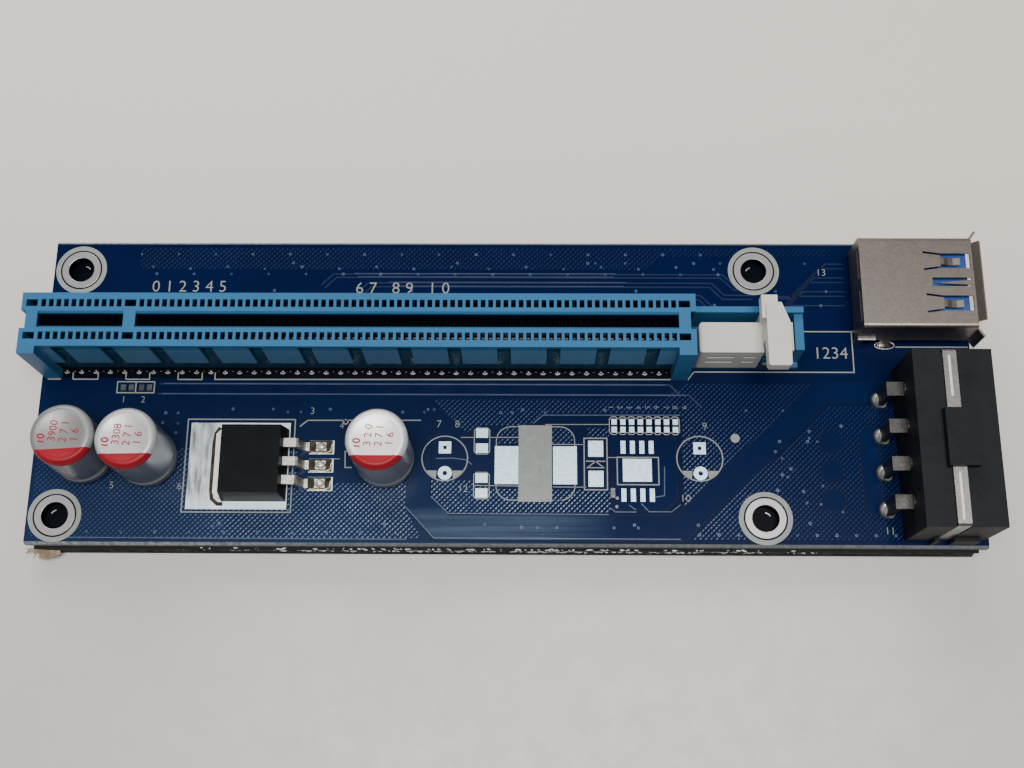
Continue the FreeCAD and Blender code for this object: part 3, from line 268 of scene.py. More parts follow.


# hatched copper shows as rows of short slanting dashes, painted pale as the lamp's highlight in their
# dimples; a fade is an axis, its start and end, and two shares
hatchLook = {
    "pitch": 0.726, "colours": ((0.0009, 0.0066, 0.04), (0.0007, 0.005, 0.031)),
    "dot": rgb(0.03, 0.068, 0.165), "dotHighlight": rgb(0.42, 0.54, 0.73), "dotInner": 0.16, "dotOuter": 0.46,
    "dimple": 0.03, "stretch": 2.5, "breakScale": 700,
    "highlightFades": (("Y", -1, -16, 0, 1), ("X", -56, -20, 0.12, 1), ("X", 18, 40, 1, 0.15)),
    "dotHighlightFades": (("Y", 10, 2, 0.07, 1), ("X", 22, 46, 1, 0.28), ("X", -60, -30, 0.36, 1)),
}


def fadeMasks(tree, axes, fades):
    return [spread(tree, axes[axis], start * mm, end * mm, *shares) for axis, start, end, *shares in fades]


def hatchMaterial():
    material, tree, shader, grain, base = maskMaterial("hatchPour", hatchLook["colours"], 120)
    place, axes = objectPlace(tree)
    squares = []
    for way, stretch in (((1, 1, 0), 1), ((1, -1, 0), hatchLook["stretch"])):
        line = vectorNode(tree, "DOT_PRODUCT", place, way)["Value"]
        cell = mathNode(tree, "FRACT", mathNode(tree, "DIVIDE", line, hatchLook["pitch"] * mm))
        offset = mathNode(tree, "MULTIPLY", mathNode(tree, "SUBTRACT", cell, 0.5), stretch)
        squares.append(product(tree, offset, offset))
    distance = mathNode(tree, "SQRT", mathNode(tree, "ADD", *squares))
    dot = spread(tree, distance, hatchLook["dotInner"], hatchLook["dotOuter"], 1, 0)
    # painted highlight: the dashes paler towards the front left and fading to the back and right, as the
    # lamp's glint does
    broken = spread(tree, noise(tree, place, hatchLook["breakScale"]), 0.3, 0.6, 0.35, 1)
    bright = product(tree, broken, *fadeMasks(tree, axes, hatchLook["highlightFades"]))
    highlightPaint = mixColour(tree, bright, hatchLook["dot"], hatchLook["dotHighlight"])
    patches = spread(tree, grain.outputs["Patches"], 0, 1, 0.55, 1)
    mask = product(tree, dot, patches, *fadeMasks(tree, axes, hatchLook["dotHighlightFades"]))
    feed(shader, mixColour(tree, mask, base, highlightPaint))
    height = mathNode(tree, "SUBTRACT", 1, dot)
    bump = {"Strength": 0.8, "Distance": hatchLook["dimple"] * mm, "Height": height}
    feed(shader, addNode(tree, "ShaderNodeBump", bump).outputs[0], "Normal")
    return material


# smooth copper with a painted sheen, broken into streaks, along its front band
sheenStreakLook = {
    "colours": ((0.0012, 0.0082, 0.045), (0.001, 0.0068, 0.038)), "sheenStreak": rgb(0.056, 0.084, 0.13),
    "stretch": (60, 2600, 60), "middle": -3, "reach": (18, 8), "front": (-16.5, -18),
}


def streakMaterial():
    material, tree, shader, grain, base = maskMaterial("copperSmooth", sheenStreakLook["colours"], 160)
    place, axes = objectPlace(tree)
    fromMiddle = mathNode(tree, "ABSOLUTE", mathNode(tree, "SUBTRACT", axes["X"], sheenStreakLook["middle"] * mm))
    along = spread(tree, fromMiddle, *(reach * mm for reach in sheenStreakLook["reach"]))
    front = spread(tree, axes["Y"], *(y * mm for y in sheenStreakLook["front"]))
    lines = noise(tree, vectorNode(tree, "MULTIPLY", place, sheenStreakLook["stretch"])[0], 1)
    # painted sheen: paler streaks near the front edge, fading out from the middle of the band
    mask = product(tree, front, along, spread(tree, lines, 0.35, 0.75, 0.35, 0.95))
    feed(shader, mixColour(tree, mask, base, sheenStreakLook["sheenStreak"]))
    return material


# light blue nylon, with painted shade inside the card gap and the chambers; on the near wall's face, painted
# light and shade: lighter panels and darker grooves
slotLook = {
    "nylon": finish((0.029, 0.132, 0.275), (0.025, 0.117, 0.25), 90, (0.36, 0.46), (2600, 4), specular=0.14),
    "dark": rgb(0.0015, 0.01, 0.036), "panel": rgb(0.066, 0.178, 0.325), "groove": rgb(0.012, 0.056, 0.112),
    "insideX": (-63, 25), "insideY": (3.21, 8.89), "insideDrop": (0.72, 0.12),
    "wallY": (2.2, 3.15), "wallDrop": (1.72, 1.42), "panelToGroove": (2.4, 2.7),
}


def slotMaterial():
    material, tree, shader, grain = grainMaterial("slotPlastic", slotLook["nylon"])
    axes = objectPlace(tree)[1]
    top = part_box("slot_housing")[1].z
    insideX, insideY, wallY = ((low * mm, high * mm) for low, high in
                               (slotLook["insideX"], slotLook["insideY"], slotLook["wallY"]))
    under, below = (spread(tree, axes["Z"], top - deep * mm, top - shallow * mm, 1, 0)
                    for deep, shallow in (slotLook["insideDrop"], slotLook["wallDrop"]))
    # painted light and shade on the near wall's lower face: panels lighter, grooves darker
    wall = product(tree, between(tree, axes["Y"], *wallY), below)
    recess = spread(tree, axes["Y"], *(y * mm for y in slotLook["panelToGroove"]))
    side = mixColour(tree, recess, slotLook["panel"], slotLook["groove"])
    colour = mixColour(tree, wall, grain.outputs["Colour"], side)
    # painted shade inside the card gap and the chambers, below the top
    inside = product(tree, between(tree, axes["X"], *insideX), between(tree, axes["Y"], *insideY), under)
    feed(shader, mixColour(tree, inside, colour, slotLook["dark"]))
    return material


# the regulator's big pad, with flux smeared over its left part
smudgeLook = {
    "tin": finish((0.8, 0.92, 0.98), (0.68, 0.78, 0.86), 1500, (0.3, 0.55), (2400, 20), 0.12),
    "smear": rgb(0.15, 0.155, 0.165), "stretch": (1500, 260, 1), "left": (-38.8, -40.2),
    "back": (-16.2, -14.5),
}


def smudgedMaterial():
    material, tree, shader, grain = grainMaterial("padSmudged", smudgeLook["tin"])
    place, axes = objectPlace(tree)
    marks = noise(tree, vectorNode(tree, "MULTIPLY", place, smudgeLook["stretch"])[0], 1, 3)
    left = spread(tree, axes["X"], *(x * mm for x in smudgeLook["left"]))
    back = spread(tree, axes["Y"], *(y * mm for y in smudgeLook["back"]), 0.35, 1)
    worn = product(tree, left, back, spread(tree, marks, 0.35, 0.65, 0.25, 0.95))
    feed(shader, mixColour(tree, worn, grain.outputs["Colour"], smudgeLook["smear"]))
    return material


materials["boardMask"] = boardMaterial()
materials["hatchPour"] = hatchMaterial()
materials["copperSmooth"] = streakMaterial()
materials["slotPlastic"] = slotMaterial()
materials["padSmudged"] = smudgedMaterial()
print("materials:", len(materials))


# finishes of the construction nodes
nodeFinish = {
    "circuit_board": "boardMask", "slot_housing": "slotPlastic", "slot_latch": "latchPlastic",
    "slot_contacts_far": "contactSteel", "slot_contacts_near": "contactSteel", "usb_shell": "shellNickel",
    "usb_insulator": "socketBlue", "usb_contacts": "goldFlash", "power_housing": "inletPlastic",
    "power_strap": "strapTin", "regulator_body": "mouldEpoxy", "regulator_tab": "tabTin",
    "insulating_pad": "foamBlack", "torn_tape_scrap": "tapeFibre",
}
startsWith = {"power_pin": "pinTin", "regulator_leg": "tinPlate", "capacitor_can": "canAluminium",
              "capacitor_seal": "sealRubber", "capacitor_leads": "tinPlate"}
for name, node in nodes.items():
    starts = [look for start, look in startsWith.items() if name.startswith(start)]
    nodeLook = nodeFinish.get(name) or starts[0]
    node.data.materials.clear()
    node.data.materials.append(materials[nodeLook])


# mesh helpers: every size below is in millimetres

def addObject(name, data):
    thing = bpy.data.objects.new(name, data)
    bpy.context.scene.collection.objects.link(thing)
    return thing


def meshFrom(name, bm):
    bmesh.ops.scale(bm, vec=(mm, mm, mm), verts=bm.verts)
    mesh = bpy.data.meshes.new(name)
    bm.to_mesh(mesh)
    bm.free()
    return mesh


def finalMesh(thing):
    bpy.context.view_layer.update()
    return bpy.data.meshes.new_from_object(thing.evaluated_get(bpy.context.evaluated_depsgraph_get()))


def addPiece(name, mesh, finishName, slotName):
    mesh.materials.clear()
    mesh.materials.append(materials[finishName])
    piece = addObject(name, mesh)
    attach(piece, "root")
    return piece


def finishPiece(name, bm, finishName, slotName, smooth=False):
    bmesh.ops.recalc_face_normals(bm, faces=bm.faces)
    mesh = meshFrom(name, bm)
    if smooth:
        mesh.shade_smooth()
    return addPiece(name, mesh, finishName, slotName)


def vertsOf(parts):
    return [part for part in parts if isinstance(part, bmesh.types.BMVert)]


def raiseFaces(bm, faces, height):
    raised = bmesh.ops.extrude_face_region(bm, geom=faces)
    bmesh.ops.translate(bm, vec=(0, 0, height), verts=vertsOf(raised["geom"]))


def addPatch(bm, outline, low, high):
    corners = [bm.verts.new((x, y, low)) for x, y in outline]
    raiseFaces(bm, [bm.faces.new(corners)], high - low)


def boxOutline(left, front, right, back):
    return ((left, front), (right, front), (right, back), (left, back), (left, front))


def addBlock(bm, left, front, right, back, low, high):
    addPatch(bm, boxOutline(left, front, right, back)[:4], low, high)


def addStroke(bm, points, width, low, high):
    closed = points[0] == points[-1]
    path = [Vector(point) for point in (points[:-1] if closed else points)]
    rails = []
    for index, here in enumerate(path):
        after = path[(index + 1) % len(path)] if closed or index + 1 < len(path) else None
        before = path[index - 1] if closed or index else None
        ahead = (after - here).normalized() if after else (here - before).normalized()
        behind = (here - before).normalized() if before else ahead
        mean = (ahead + behind).normalized()
        reach = width / 2 / max(0.4, mean.dot(ahead))  # mitred, but a sharp corner stays short
        off = Vector((-mean.y, mean.x)) * reach
        rails.append([bm.verts.new((side.x, side.y, low)) for side in (here + off, here - off)])
    faces = []
    for index in range(len(rails) if closed else len(rails) - 1):
        a, b = rails[index], rails[(index + 1) % len(rails)]
        faces.append(bm.faces.new((a[0], a[1], b[1], b[0])))
    raiseFaces(bm, faces, high - low)


def addRing(bm, x, y, inner, outer, low, high, steps=48, turn=0):
    place = Matrix.Translation((x, y, low)) @ Matrix.Rotation(math.radians(turn), 4, "Z")
    rims = [bmesh.ops.create_circle(bm, segments=steps, radius=radius, matrix=place)["verts"]
            for radius in (inner, outer)]
    edges = dict.fromkeys(edge for rim in rims for vert in rim for edge in vert.link_edges)
    raiseFaces(bm, bmesh.ops.bridge_loops(bm, edges=list(edges))["faces"], high - low)


def addDisc(bm, x, y, radius, low, high, steps=24):
    bmesh.ops.create_cone(bm, cap_ends=True, segments=steps, radius1=radius, radius2=radius, depth=high - low,
                          matrix=Matrix.Translation((x, y, (low + high) / 2)))


def arcPoints(x, y, radius, start, end, steps=20):
    angles = [math.radians(start + (end - start) * step / steps) for step in range(steps + 1)]
    return [(x + radius * math.cos(angle), y + radius * math.sin(angle)) for angle in angles]


def addBlob(bm, x, y, z, width, depth, height):
    place = Matrix.Translation((x, y, z)) @ Matrix.Diagonal((width / 2, depth / 2, height, 1))
    for vert in bmesh.ops.create_uvsphere(bm, u_segments=16, v_segments=10, radius=1, matrix=place)["verts"]:
        vert.co += Vector((draw(-1, 1), draw(-1, 1), 0)) * 0.02 * width


# heights above the board
levels = {"hatch": 0.03, "gap": 0.045, "copper": 0.06, "shadow": 0.065, "lit": 0.07, "via": 0.085,
          "print": 0.1, "stripe": 0.104, "tin": 0.105, "ring": 0.145, "flux": 0.185}
layer = {name: (boardTop, boardTop + height) for name, height in levels.items()}


# copper under the solder mask

copper = {
    "hatchAreas": {
        "frontLeft": ((-63.6, -20.9), (-11, -20.9), (-13.2, -17), (-13.2, -13.4), (-28.2, -13.4),
                      (-28.2, -8.6), (-63.6, -8.6)),
        "topMiddle": ((-9.8, -1.5), (24, -1.45), (24, -3.4), (5.2, -3.5), (3.9, -4.9), (1.8, -5.2),
                      (-2.9, -5.2), (-5.3, -6.2), (-8.9, -2.9)),
        "coilLeft": ((0.2, -5.5), (1.8, -5.5), (1.8, -7.8), (-1, -7.8), (-1, -6.3)),
        "coilRight": ((6.4, -5.5), (8.1, -5.5), (9.3, -6.6), (9.3, -7.8), (6.4, -7.8)),
        "besideDevice": ((11.3, -5.5), (14.2, -5.5), (14.2, -6.9), (11.3, -6.9)),
        "frontMiddle": ((-9.9, -12.9), (-4.6, -12.9), (-1.6, -14.1), (14.2, -14.2), (14.2, -17.3),
                        (-7.5, -17.4), (-9.9, -15.1)),
        "frontRight": ((24.6, -20.9), (53, -20.9), (53, -2.3), (44.3, -2.3)),
        "middleRight": ((24.05, -17.3), (42, 0.8), (24.5, 0.8), (22, -1.4), (24.05, -1.4)),
        "backStrip": ((-52, 17.6), (20, 17.6), (22, 19.6), (46, 19.6), (46, 20.9), (-52, 20.9)),
    },
    "smoothAreas": {
        "powerBand": ((-28.4, -4.4), (-28.4, -1.9), (-27.4, -0.95), (-12.6, -0.95), (-10, -3.6),
                      (-9.99, -15.2), (-7.45, -17.71), (23.09, -17.59), (42.75, 1.14), (51.6, 1.14),
                      (51.6, -1.84), (44.16, -1.86), (24.18, -20.96), (-9.25, -20.94),
                      (-13.18, -16.71), (-13.18, -5.6), (-14.4, -4.4)),
        "deviceIsland": ((14.6, -16.9), (21.6, -16.9), (23.2, -15.3), (23.2, -7), (14.6, -7)),
    },
    "litEdges": (
        ((-13.4, -16.4), (-9.4, -20.75), (23.5, -20.8)), ((-9.9, -15.1), (-7.5, -17.45), (14, -17.5)),
        ((3.84, -4.92), (5.21, -3.74), (23.9, -3.68)), ((-60, -20.9), (-13, -20.95)),
        ((14.17, -16.6), (14.9, -17.15), (17.7, -17.14)), ((16.7, -16.2), (17.6, -16.84)),
        ((18.36, -16), (19.4, -17.1), (22.4, -17.1), (23.6, -16.15)),
        ((20.3, -15.1), (21.5, -14.9), (21.6, -10.9)),
        ((-9.3, -9.9), (-7.05, -9.82), (-5.2, -10.06), (-4.46, -10.7)),
    ),
    "gapWidth": 0.26, "edgeWidth": 0.13,
    "windows": {"x": 44.15, "back": -7.4, "pitch": 4.05, "radius": 1.5, "gap": 1.64, "count": 3},
    "slit": {"x": 49.4, "back": -6.6, "front": -16.15, "radius": 1.15, "gapWidth": 0.3},
}


holes = {"xs": (-60.4, 34.9), "ys": (17.45, -17.95), "wall": 1.82, "tin": 2.75, "gap": 2.95, "print": 3.6,
         "cutter": 2.5, "depth": 1.6, "floor": 1.81, "glint": 1}
holePlaces = [(x, y) for x in holes["xs"] for y in holes["ys"]]


def cutHoles(piece):
    bm = bmesh.new()
    for x, y in holePlaces:
        addDisc(bm, x, y, holes["cutter"], boardTop - 3, boardTop + 3, 48)
    cutter = addObject("holeCutter", meshFrom("holeCutter", bm))
    trim = piece.modifiers.new("holes", "BOOLEAN")
    trim.operation, trim.object, trim.solver = "DIFFERENCE", cutter, "EXACT"
    trimmed = finalMesh(piece)
    piece.modifiers.remove(trim)
    piece.data = trimmed
    bpy.data.objects.remove(cutter)


def nearHole(x, y, reach=4):
    return any(math.hypot(x - holeX, y - holeY) < reach for holeX, holeY in holePlaces)


def makeCopper():
    hatch = bmesh.new()
    for outline in copper["hatchAreas"].values():
        addPatch(hatch, outline, *layer["hatch"])
    cutHoles(finishPiece("hatch_pours", hatch, "hatchPour", "laminate"))
    gap, smooth, rim = bmesh.new(), bmesh.new(), bmesh.new()
    for outline in copper["smoothAreas"].values():
        addStroke(gap, list(outline) + [outline[0]], copper["gapWidth"], *layer["gap"])
        addPatch(smooth, outline, *layer["copper"])
    for points in copper["litEdges"]:
        addStroke(rim, points, copper["edgeWidth"], *layer["lit"])
    window, slit = copper["windows"], copper["slit"]
    for index in range(window["count"]):
        y = window["back"] - index * window["pitch"]
        addRing(gap, window["x"], y, window["radius"], window["gap"], *layer["gap"], 32)
        addDisc(smooth, window["x"], y, window["radius"], *layer["copper"], 32)
    capsule = (arcPoints(slit["x"], slit["back"], slit["radius"], 0, 180, 12)
               + arcPoints(slit["x"], slit["front"], slit["radius"], 180, 360, 12))
    addPatch(smooth, capsule, *layer["copper"])
    addStroke(gap, capsule + capsule[:1], slit["gapWidth"], *layer["gap"])
    finishPiece("pour_gaps", gap, "maskEdge", "laminate")
    cutHoles(finishPiece("copper_areas", smooth, "copperSmooth", "laminate"))
    finishPiece("lit_edges", rim, "maskLight", "laminate")


makeCopper()


traces = {
    "width": 0.2, "sheenWidth": 0.07,
    "backPairs": ((13.15, 13.75), (15, 15.6), (16.4, 16.9)),
    "fanRows": 7, "fanFront": 9.9, "fanPitch": 0.62, "fanEnd": 47.6,  # pairs that bend up to the bus socket
    "longRuns": ((0.62, -47.8, 22.6), (-0.85, -48, 25.2)), "longWidth": 0.24, "longSheenWidth": 0.11,
}


def makeTraces():
    bm, lit = bmesh.new(), bmesh.new()
    for index, pair in enumerate(traces["backPairs"]):
        for offset, y in enumerate(pair):
            left = -14 - index * 5 - offset * 0.5
            bend = 27 + index * 1.6 + offset * 0.3
            low = y - 1.8
            points = [(left - 1.6, y - 1.6), (left, y), (bend, y), (bend + 1.8, low), (bend + 6, low)]
            addStroke(bm, points, traces["width"], *layer["copper"])
            glint = [(left + 3, y + 0.12), (bend - 9 - index * 3, y + 0.12)]
            addStroke(lit, glint, traces["sheenWidth"], *layer["lit"])
    for row in range(traces["fanRows"]):
        y = traces["fanFront"] + row * traces["fanPitch"] + (0.35 if row % 2 else 0)
        rise = 2.4 + row * 0.42
        start = 37.6 + row * 0.42
        top = y + rise
        points = [(start - 4 + row * 0.3, y), (start, y), (start + rise, top), (traces["fanEnd"], top)]
        addStroke(bm, points, traces["width"], *layer["copper"])
    for y, left, right in traces["longRuns"]:
        addStroke(bm, [(left, y), (right, y), (right + 1.6, y - 1.6)], traces["longWidth"], *layer["copper"])
        addStroke(lit, [(left + 0.6, y), (right - 0.6, y)], traces["longSheenWidth"], *layer["lit"])
    finishPiece("copper_traces", bm, "traceBlue", "laminate")
    finishPiece("trace_sheen", lit, "traceLit", "laminate")


makeTraces()


vias = {
    "outer": 0.19, "inner": 0.09, "scattered": 60, "byInlet": 20,
    "rowsY": (-19.3, -18.9, -3.4, -3, 11.6, 12.3, 14.4, 18.6),
    "besideCan": ((-46.6, -3.6), (-44.9, -3.6), (-46.9, -5), (-44.8, -5.1), (-45, -6.4)),
}


def viaPlaces():
    for index in range(17):
        yield -52 + index * 5.3, 19.9
        yield -50.2 + index * 5.3, 18 - 0.3 * (index % 2)
        yield -49.6 + index * 5.3, 16.9
    for index in range(11):
        yield -60.5 + index * 4.6, -20.1
        yield 26 + index * 2.6, -20.2
    yield from vias["besideCan"]
    for index in range(vias["scattered"]):
        yield draw(-44, 50), random.choice(vias["rowsY"])
    for index in range(vias["byInlet"]):
        yield draw(36, 46.5), draw(-19, -4)


def makeVias():
    bm = bmesh.new()
    for x, y in viaPlaces():
        if not nearHole(x, y):
            addRing(bm, x, y, vias["inner"], vias["outer"] * draw(0.8, 1.25), *layer["via"], 10)
    finishPiece("vias", bm, "viaTin", "tin")


makeVias()


# mounting holes: dark floor, bore wall painted dark as the shade inside the hole, plated ring, thin dark gap
# and white print round it
def makeHoles():
    tin, white, dark, shadedBore, shine = (bmesh.new() for count in range(5))
    bottom = boardTop - holes["depth"]
    for x, y in holePlaces:
        addRing(dark, x, y, holes["tin"], holes["gap"] + 0.1, *layer["shadow"])
        addRing(tin, x, y, holes["wall"], holes["tin"], *layer["ring"])
        # painted shade: the plated bore wall given the near-black shadow finish
        addRing(shadedBore, x, y, holes["wall"], holes["wall"] + 0.03, bottom, boardTop)
        addRing(white, x, y, holes["gap"], holes["print"], *layer["print"])
        addDisc(shadedBore, x, y, holes["floor"], bottom, bottom + 0.15, 32)
        start = 105 if (x < 0) == (y < 0) else 35
        arc = arcPoints(x, y, holes["glint"], start, start + 45, 8)
        addStroke(shine, arc, 0.15, boardTop - 1.2, boardTop - 1.1)
    sharp = [edge for edge in tin.edges
             if edge.calc_face_angle(0) > 1 and edge.verts[0].co.z > boardTop + 0.1]
    bmesh.ops.bevel(tin, geom=sharp, offset=0.05, offset_type="OFFSET", segments=2, profile=0.5,
                    affect="EDGES", material=-1)
    finishPiece("hole_gaps", dark, "maskShadow", "laminate")
    finishPiece("hole_floors", shadedBore, "maskShadow", "foam")
    finishPiece("hole_glints", shine, "solderBright", "tin")
    finishPiece("hole_plating", tin, "ringTin", "tin")
    finishPiece("hole_rings", white, "printWhite", "laminate")


makeHoles()


# white print

printLook = {
    "line": 0.16, "fine": 0.13, "thin": 0.1,
    "cells": {"left": 14.25, "pitch": 1.19, "front": -6.45, "back": -3.95, "count": 8},
    "chips": {"left": -4.15, "right": -2.05, "fronts": (-9.25, -15.45), "depth": 3.648},
    "coil": {"left": 0.85, "right": 7.5, "front": -13.6, "back": -7.4, "corner": 2},
    "coilStripe": (1.87, -15.81, 6.4, -5.2),
    "cans": ((-8.12, -9.87), (26.39, -9.78)), "canRadius": 3.1, "chordAngle": -34, "padHalf": 1.05,
    "eyelet": (-21.8, -4.8), "dot": (31.28, -6.93),
}
printLines = [
    ((-63.43, 1.2), (-61.62, 1.2)),
    ((-59.95, 1.2), (-56.47, 1.2), (-56.47, 2.2)), ((-59.95, 1.2), (-59.95, 2.2)),
    ((-52.57, 1.2), (-49.3, 1.2), (-49.3, 2.2)), ((-52.57, 1.2), (-52.57, 2.2)),
    ((-45.34, 1.2), (-42, 1.2), (-42, 2.2)), ((-45.34, 1.2), (-45.34, 2.2)),
    ((-40.2, 2.2), (-40.2, 1.22), (25.18, 1.4), (26, 2.5), (48.05, 2.5), (48.05, 8.43), (41.4, 8.43)),
    ((48.05, 8.49), (49, 8.49)), ((54, 6.2), (64, 6.2)),
    ((-28.04, -5.47), (-26.99, -4.6), (-11.49, -4.54)),
    ((-51.08, -0.74), (-51.08, 0.84)),
    ((11, -10.2), (13.6, -10.2)), ((12.3, -10.2), (11.2, -11.1), (13.4, -11.1), (12.3, -10.2)),
    ((-20.7, -8.95), (-21.7, -8.95), (-21.6, -11.2), (-20.7, -11.2)),
]
printBoxes = [
    (-43.4, -17.4, -28.7, -4.5), (-53.65, -0.74, -48.51, 0.84), (10.77, -14.14, 13.87, -7),
    (15.22, -13.42, 20.8, -9.64),
]
finePrintLines = [
    ((-6, -6.94), (-4.2, -6.93)), ((-2.1, -6.92), (1.86, -6.91)), ((-4.1, -13.6), (1.9, -13.67)),
    ((6.42, -7.86), (10.8, -7.88)), ((6.56, -13.78), (11, -13.79)), ((5.5, -5.07), (14.2, -5.04)),
    ((13.9, -9.67), (15.2, -9.67)), ((-22.4, -10), (-23.8, -10)),
]


def cellOutline(left, low, right, high, inset=0.35):
    return ((left + inset, low), (right - inset, low), (right, low + inset), (right, high - inset),
            (right - inset, high), (left + inset, high), (left, high - inset), (left, low + inset),
            (left + inset, low))


def addCanPrint(bm, x, y):
    addStroke(bm, arcPoints(x, y, printLook["canRadius"], 0, 360, 48), printLook["line"], *layer["print"])
    chord, inside = printLook["chordAngle"], printLook["canRadius"] - 0.05
    wedge = arcPoints(x, y, inside, 180 - chord, 360 + chord, 20)
    left, right = x - printLook["padHalf"], x + printLook["padHalf"]  # the pad parts the filled end in two
    edge = y + inside * math.sin(math.radians(chord))
    addPatch(bm, [point for point in wedge if point[0] < left] + [(left, edge)], *layer["print"])
    addPatch(bm, [(right, edge)] + [point for point in wedge if point[0] > right], *layer["print"])


def makePrint():
    bm = bmesh.new()
    for points in printLines + [boxOutline(*box) for box in printBoxes]:
        addStroke(bm, points, printLook["line"], *layer["print"])
    for points in finePrintLines:
        addStroke(bm, points, printLook["thin"], *layer["print"])
    addRing(bm, *printLook["eyelet"], 0.22, 0.4, *layer["print"], 20)
    cells, chips, coil = printLook["cells"], printLook["chips"], printLook["coil"]
    outlines = []
    for index in range(cells["count"]):
        left = cells["left"] + index * cells["pitch"]
        outlines.append(cellOutline(left, cells["front"], left + cells["pitch"], cells["back"]))
    for front in chips["fronts"]:
        outlines.append(cellOutline(chips["left"], front, chips["right"], front + chips["depth"]))
    start = [(coil["right"] + 0.4, coil["front"] - coil["corner"])]
    corners = ((coil["right"], coil["front"], -90), (coil["right"], coil["back"], 0),
               (coil["left"], coil["back"], 90), (coil["left"], coil["front"], 180))
    arcs = [point for x, y, turn in corners for point in arcPoints(x, y, coil["corner"], turn, turn + 90, 8)]
    outlines.append(start + arcs + start)
    for outline in outlines:
        addStroke(bm, outline, printLook["fine"], *layer["print"])
    addBlock(bm, *printLook["coilStripe"], *layer["stripe"])
    for x, y in printLook["cans"]:
        addCanPrint(bm, x, y)
    addDisc(bm, *printLook["dot"], 0.62, *layer["print"])
    finishPiece("board_print", bm, "printWhite", "laminate")


makePrint()


def addDigits(name, body, x, y, height, turn=0, surface=layer["print"][1], finishName="printWhite",
              slotName="laminate", thicken=0, tilt=Matrix.Identity(4)):
    curve = bpy.data.curves.new(name, "FONT")
    curve.body = body
    curve.size = height / 0.72 * mm  # a digit is 0.72 of the font's size
    curve.extrude = 0.012 * mm
    curve.offset = thicken * mm
    curve.align_x, curve.align_y = "CENTER", "CENTER"
    curve.resolution_u = 3
    holder = addObject(name + "Text", curve)
    mesh = finalMesh(holder)
    bpy.data.objects.remove(holder)
    place = Matrix.Translation((x * mm, y * mm, surface * mm)) @ tilt
    mesh.transform(place @ Matrix.Rotation(math.radians(turn), 4, "Z"))
    mesh.name = name
    addPiece(name, mesh, finishName, slotName)


digitPlaces = (  # plain numbers where the card has its marks
    ("0 1 2 3 4 5", -44.8, 14.9, 1.75), ("6 7   8 9   1 0", -14.6, 14.7, 1.75),
    ("1", -52.6, -1.75, 0.95), ("2", -49.9, -1.75, 0.95), ("3", -26.4, -3.3, 1),
    ("4", -22.3, -5.4, 0.9), ("5", -53.1, -13.8, 1), ("6", -43.9, -13.9, 1),
    ("7", -9, -5.1, 1.05), ("8", -6.5, -5.1, 1.05), ("9", 27.2, -5.3, 1.05),
    ("12", -5.6, -14.1, 1), ("10", 24.3, -15.3, 1.05), ("11", 51.3, -19.6, 1.05),
    ("13", 44.4, 17.2, 1.05), ("1234", 45, 5.2, 1.75),
)
digitPlaces += tuple((str(number), 13.2 + number * 1.25, -2.6, 0.75, -90) for number in range(1, 10))
for index, (words, *spot) in enumerate(digitPlaces):
    addDigits(f"board_number_{index + 1}", words, *spot, thicken=-0.02)
print("board print done")


feetY = [-10.95 + 2.54 * (index - 1) for index in range(3)]  # the regulator's three feet
pads = {
    "regulator": (-42.9, -17, -29.3, -5),
    "squares": ((-8.12, -8.35), (26.41, -8.35)), "rounds": ((-8.07, -11.91), (26.44, -11.83)),
    "blocks": [(-3.92, front, -2.28, front + 1.3) for front in (-6.98, -9.08, -13.24, -15.3)]
    + [(-1.33, -13.4, 1.85, -8.15), (6.56, -13.4, 9.77, -8.15)]  # coil
    + [(11.32, -9.58, 13.35, -7.35), (11.32, -13.73, 13.35, -11.53)]  # diode
    + [(15.97, -13.01, 19.87, -9.85)]  # the device's middle pad, then its legs
    + [(15.72 + 1.27 * index, front, 16.38 + 1.27 * index, back) for index in range(4)
       for front, back in ((-9.13, -7.34), (-15.75, -13.95))]
    + [(14.54 + 1.19 * index, y - 0.4, 15.26 + 1.19 * index, y + 0.4)
       for index in range(8) for y in (-4.68, -5.76)]
    + [(-26.6, y - 0.95, -23.2, y + 0.95) for y in feetY],
    "dullBlocks": [(x - 0.36, -0.4, x + 0.36, 0.46) for x in (-52.81, -51.68, -50.27, -49.2)]
    + [(14.29, -15.2, 14.89, -13.9)],
    "dullDots": ((15.15, -15.27), (15.07, -16.43)),
    "tabFlux": ((-38.9, -5.7), (-39.4, -6.5), (-39.6, -8), (-39.6, -14.4), (-39.4, -15.6), (-38.6, -16.3),
                (-37.9, -16.3)),
}


def makePads():
    big, bm, dull, flux = (bmesh.new() for count in range(4))
    addBlock(big, *pads["regulator"], *layer["tin"])
    finishPiece("regulator_pad", big, "padSmudged", "tin")
    for x, y in pads["squares"]:
        addRing(bm, x, y, 0.34, 1.18, *layer["tin"], 4, 45)
    for x, y in pads["rounds"]:
        addRing(bm, x, y, 0.32, 0.95, *layer["tin"], 24)
    for block in pads["blocks"]:
        addBlock(bm, *block, *layer["tin"])
    finishPiece("tinned_pads", bm, "padTin", "tin")
    for block in pads["dullBlocks"]:
        addBlock(dull, *block, *layer["tin"])
    for x, y in pads["dullDots"]:
        addDisc(dull, x, y, 0.22, *layer["tin"], 12)
    finishPiece("dull_pads", dull, "dullSolder", "tin")
    addStroke(flux, pads["tabFlux"], 0.5, *layer["flux"])
    finishPiece("tab_flux", flux, "fluxDark", "tin")


makePads()


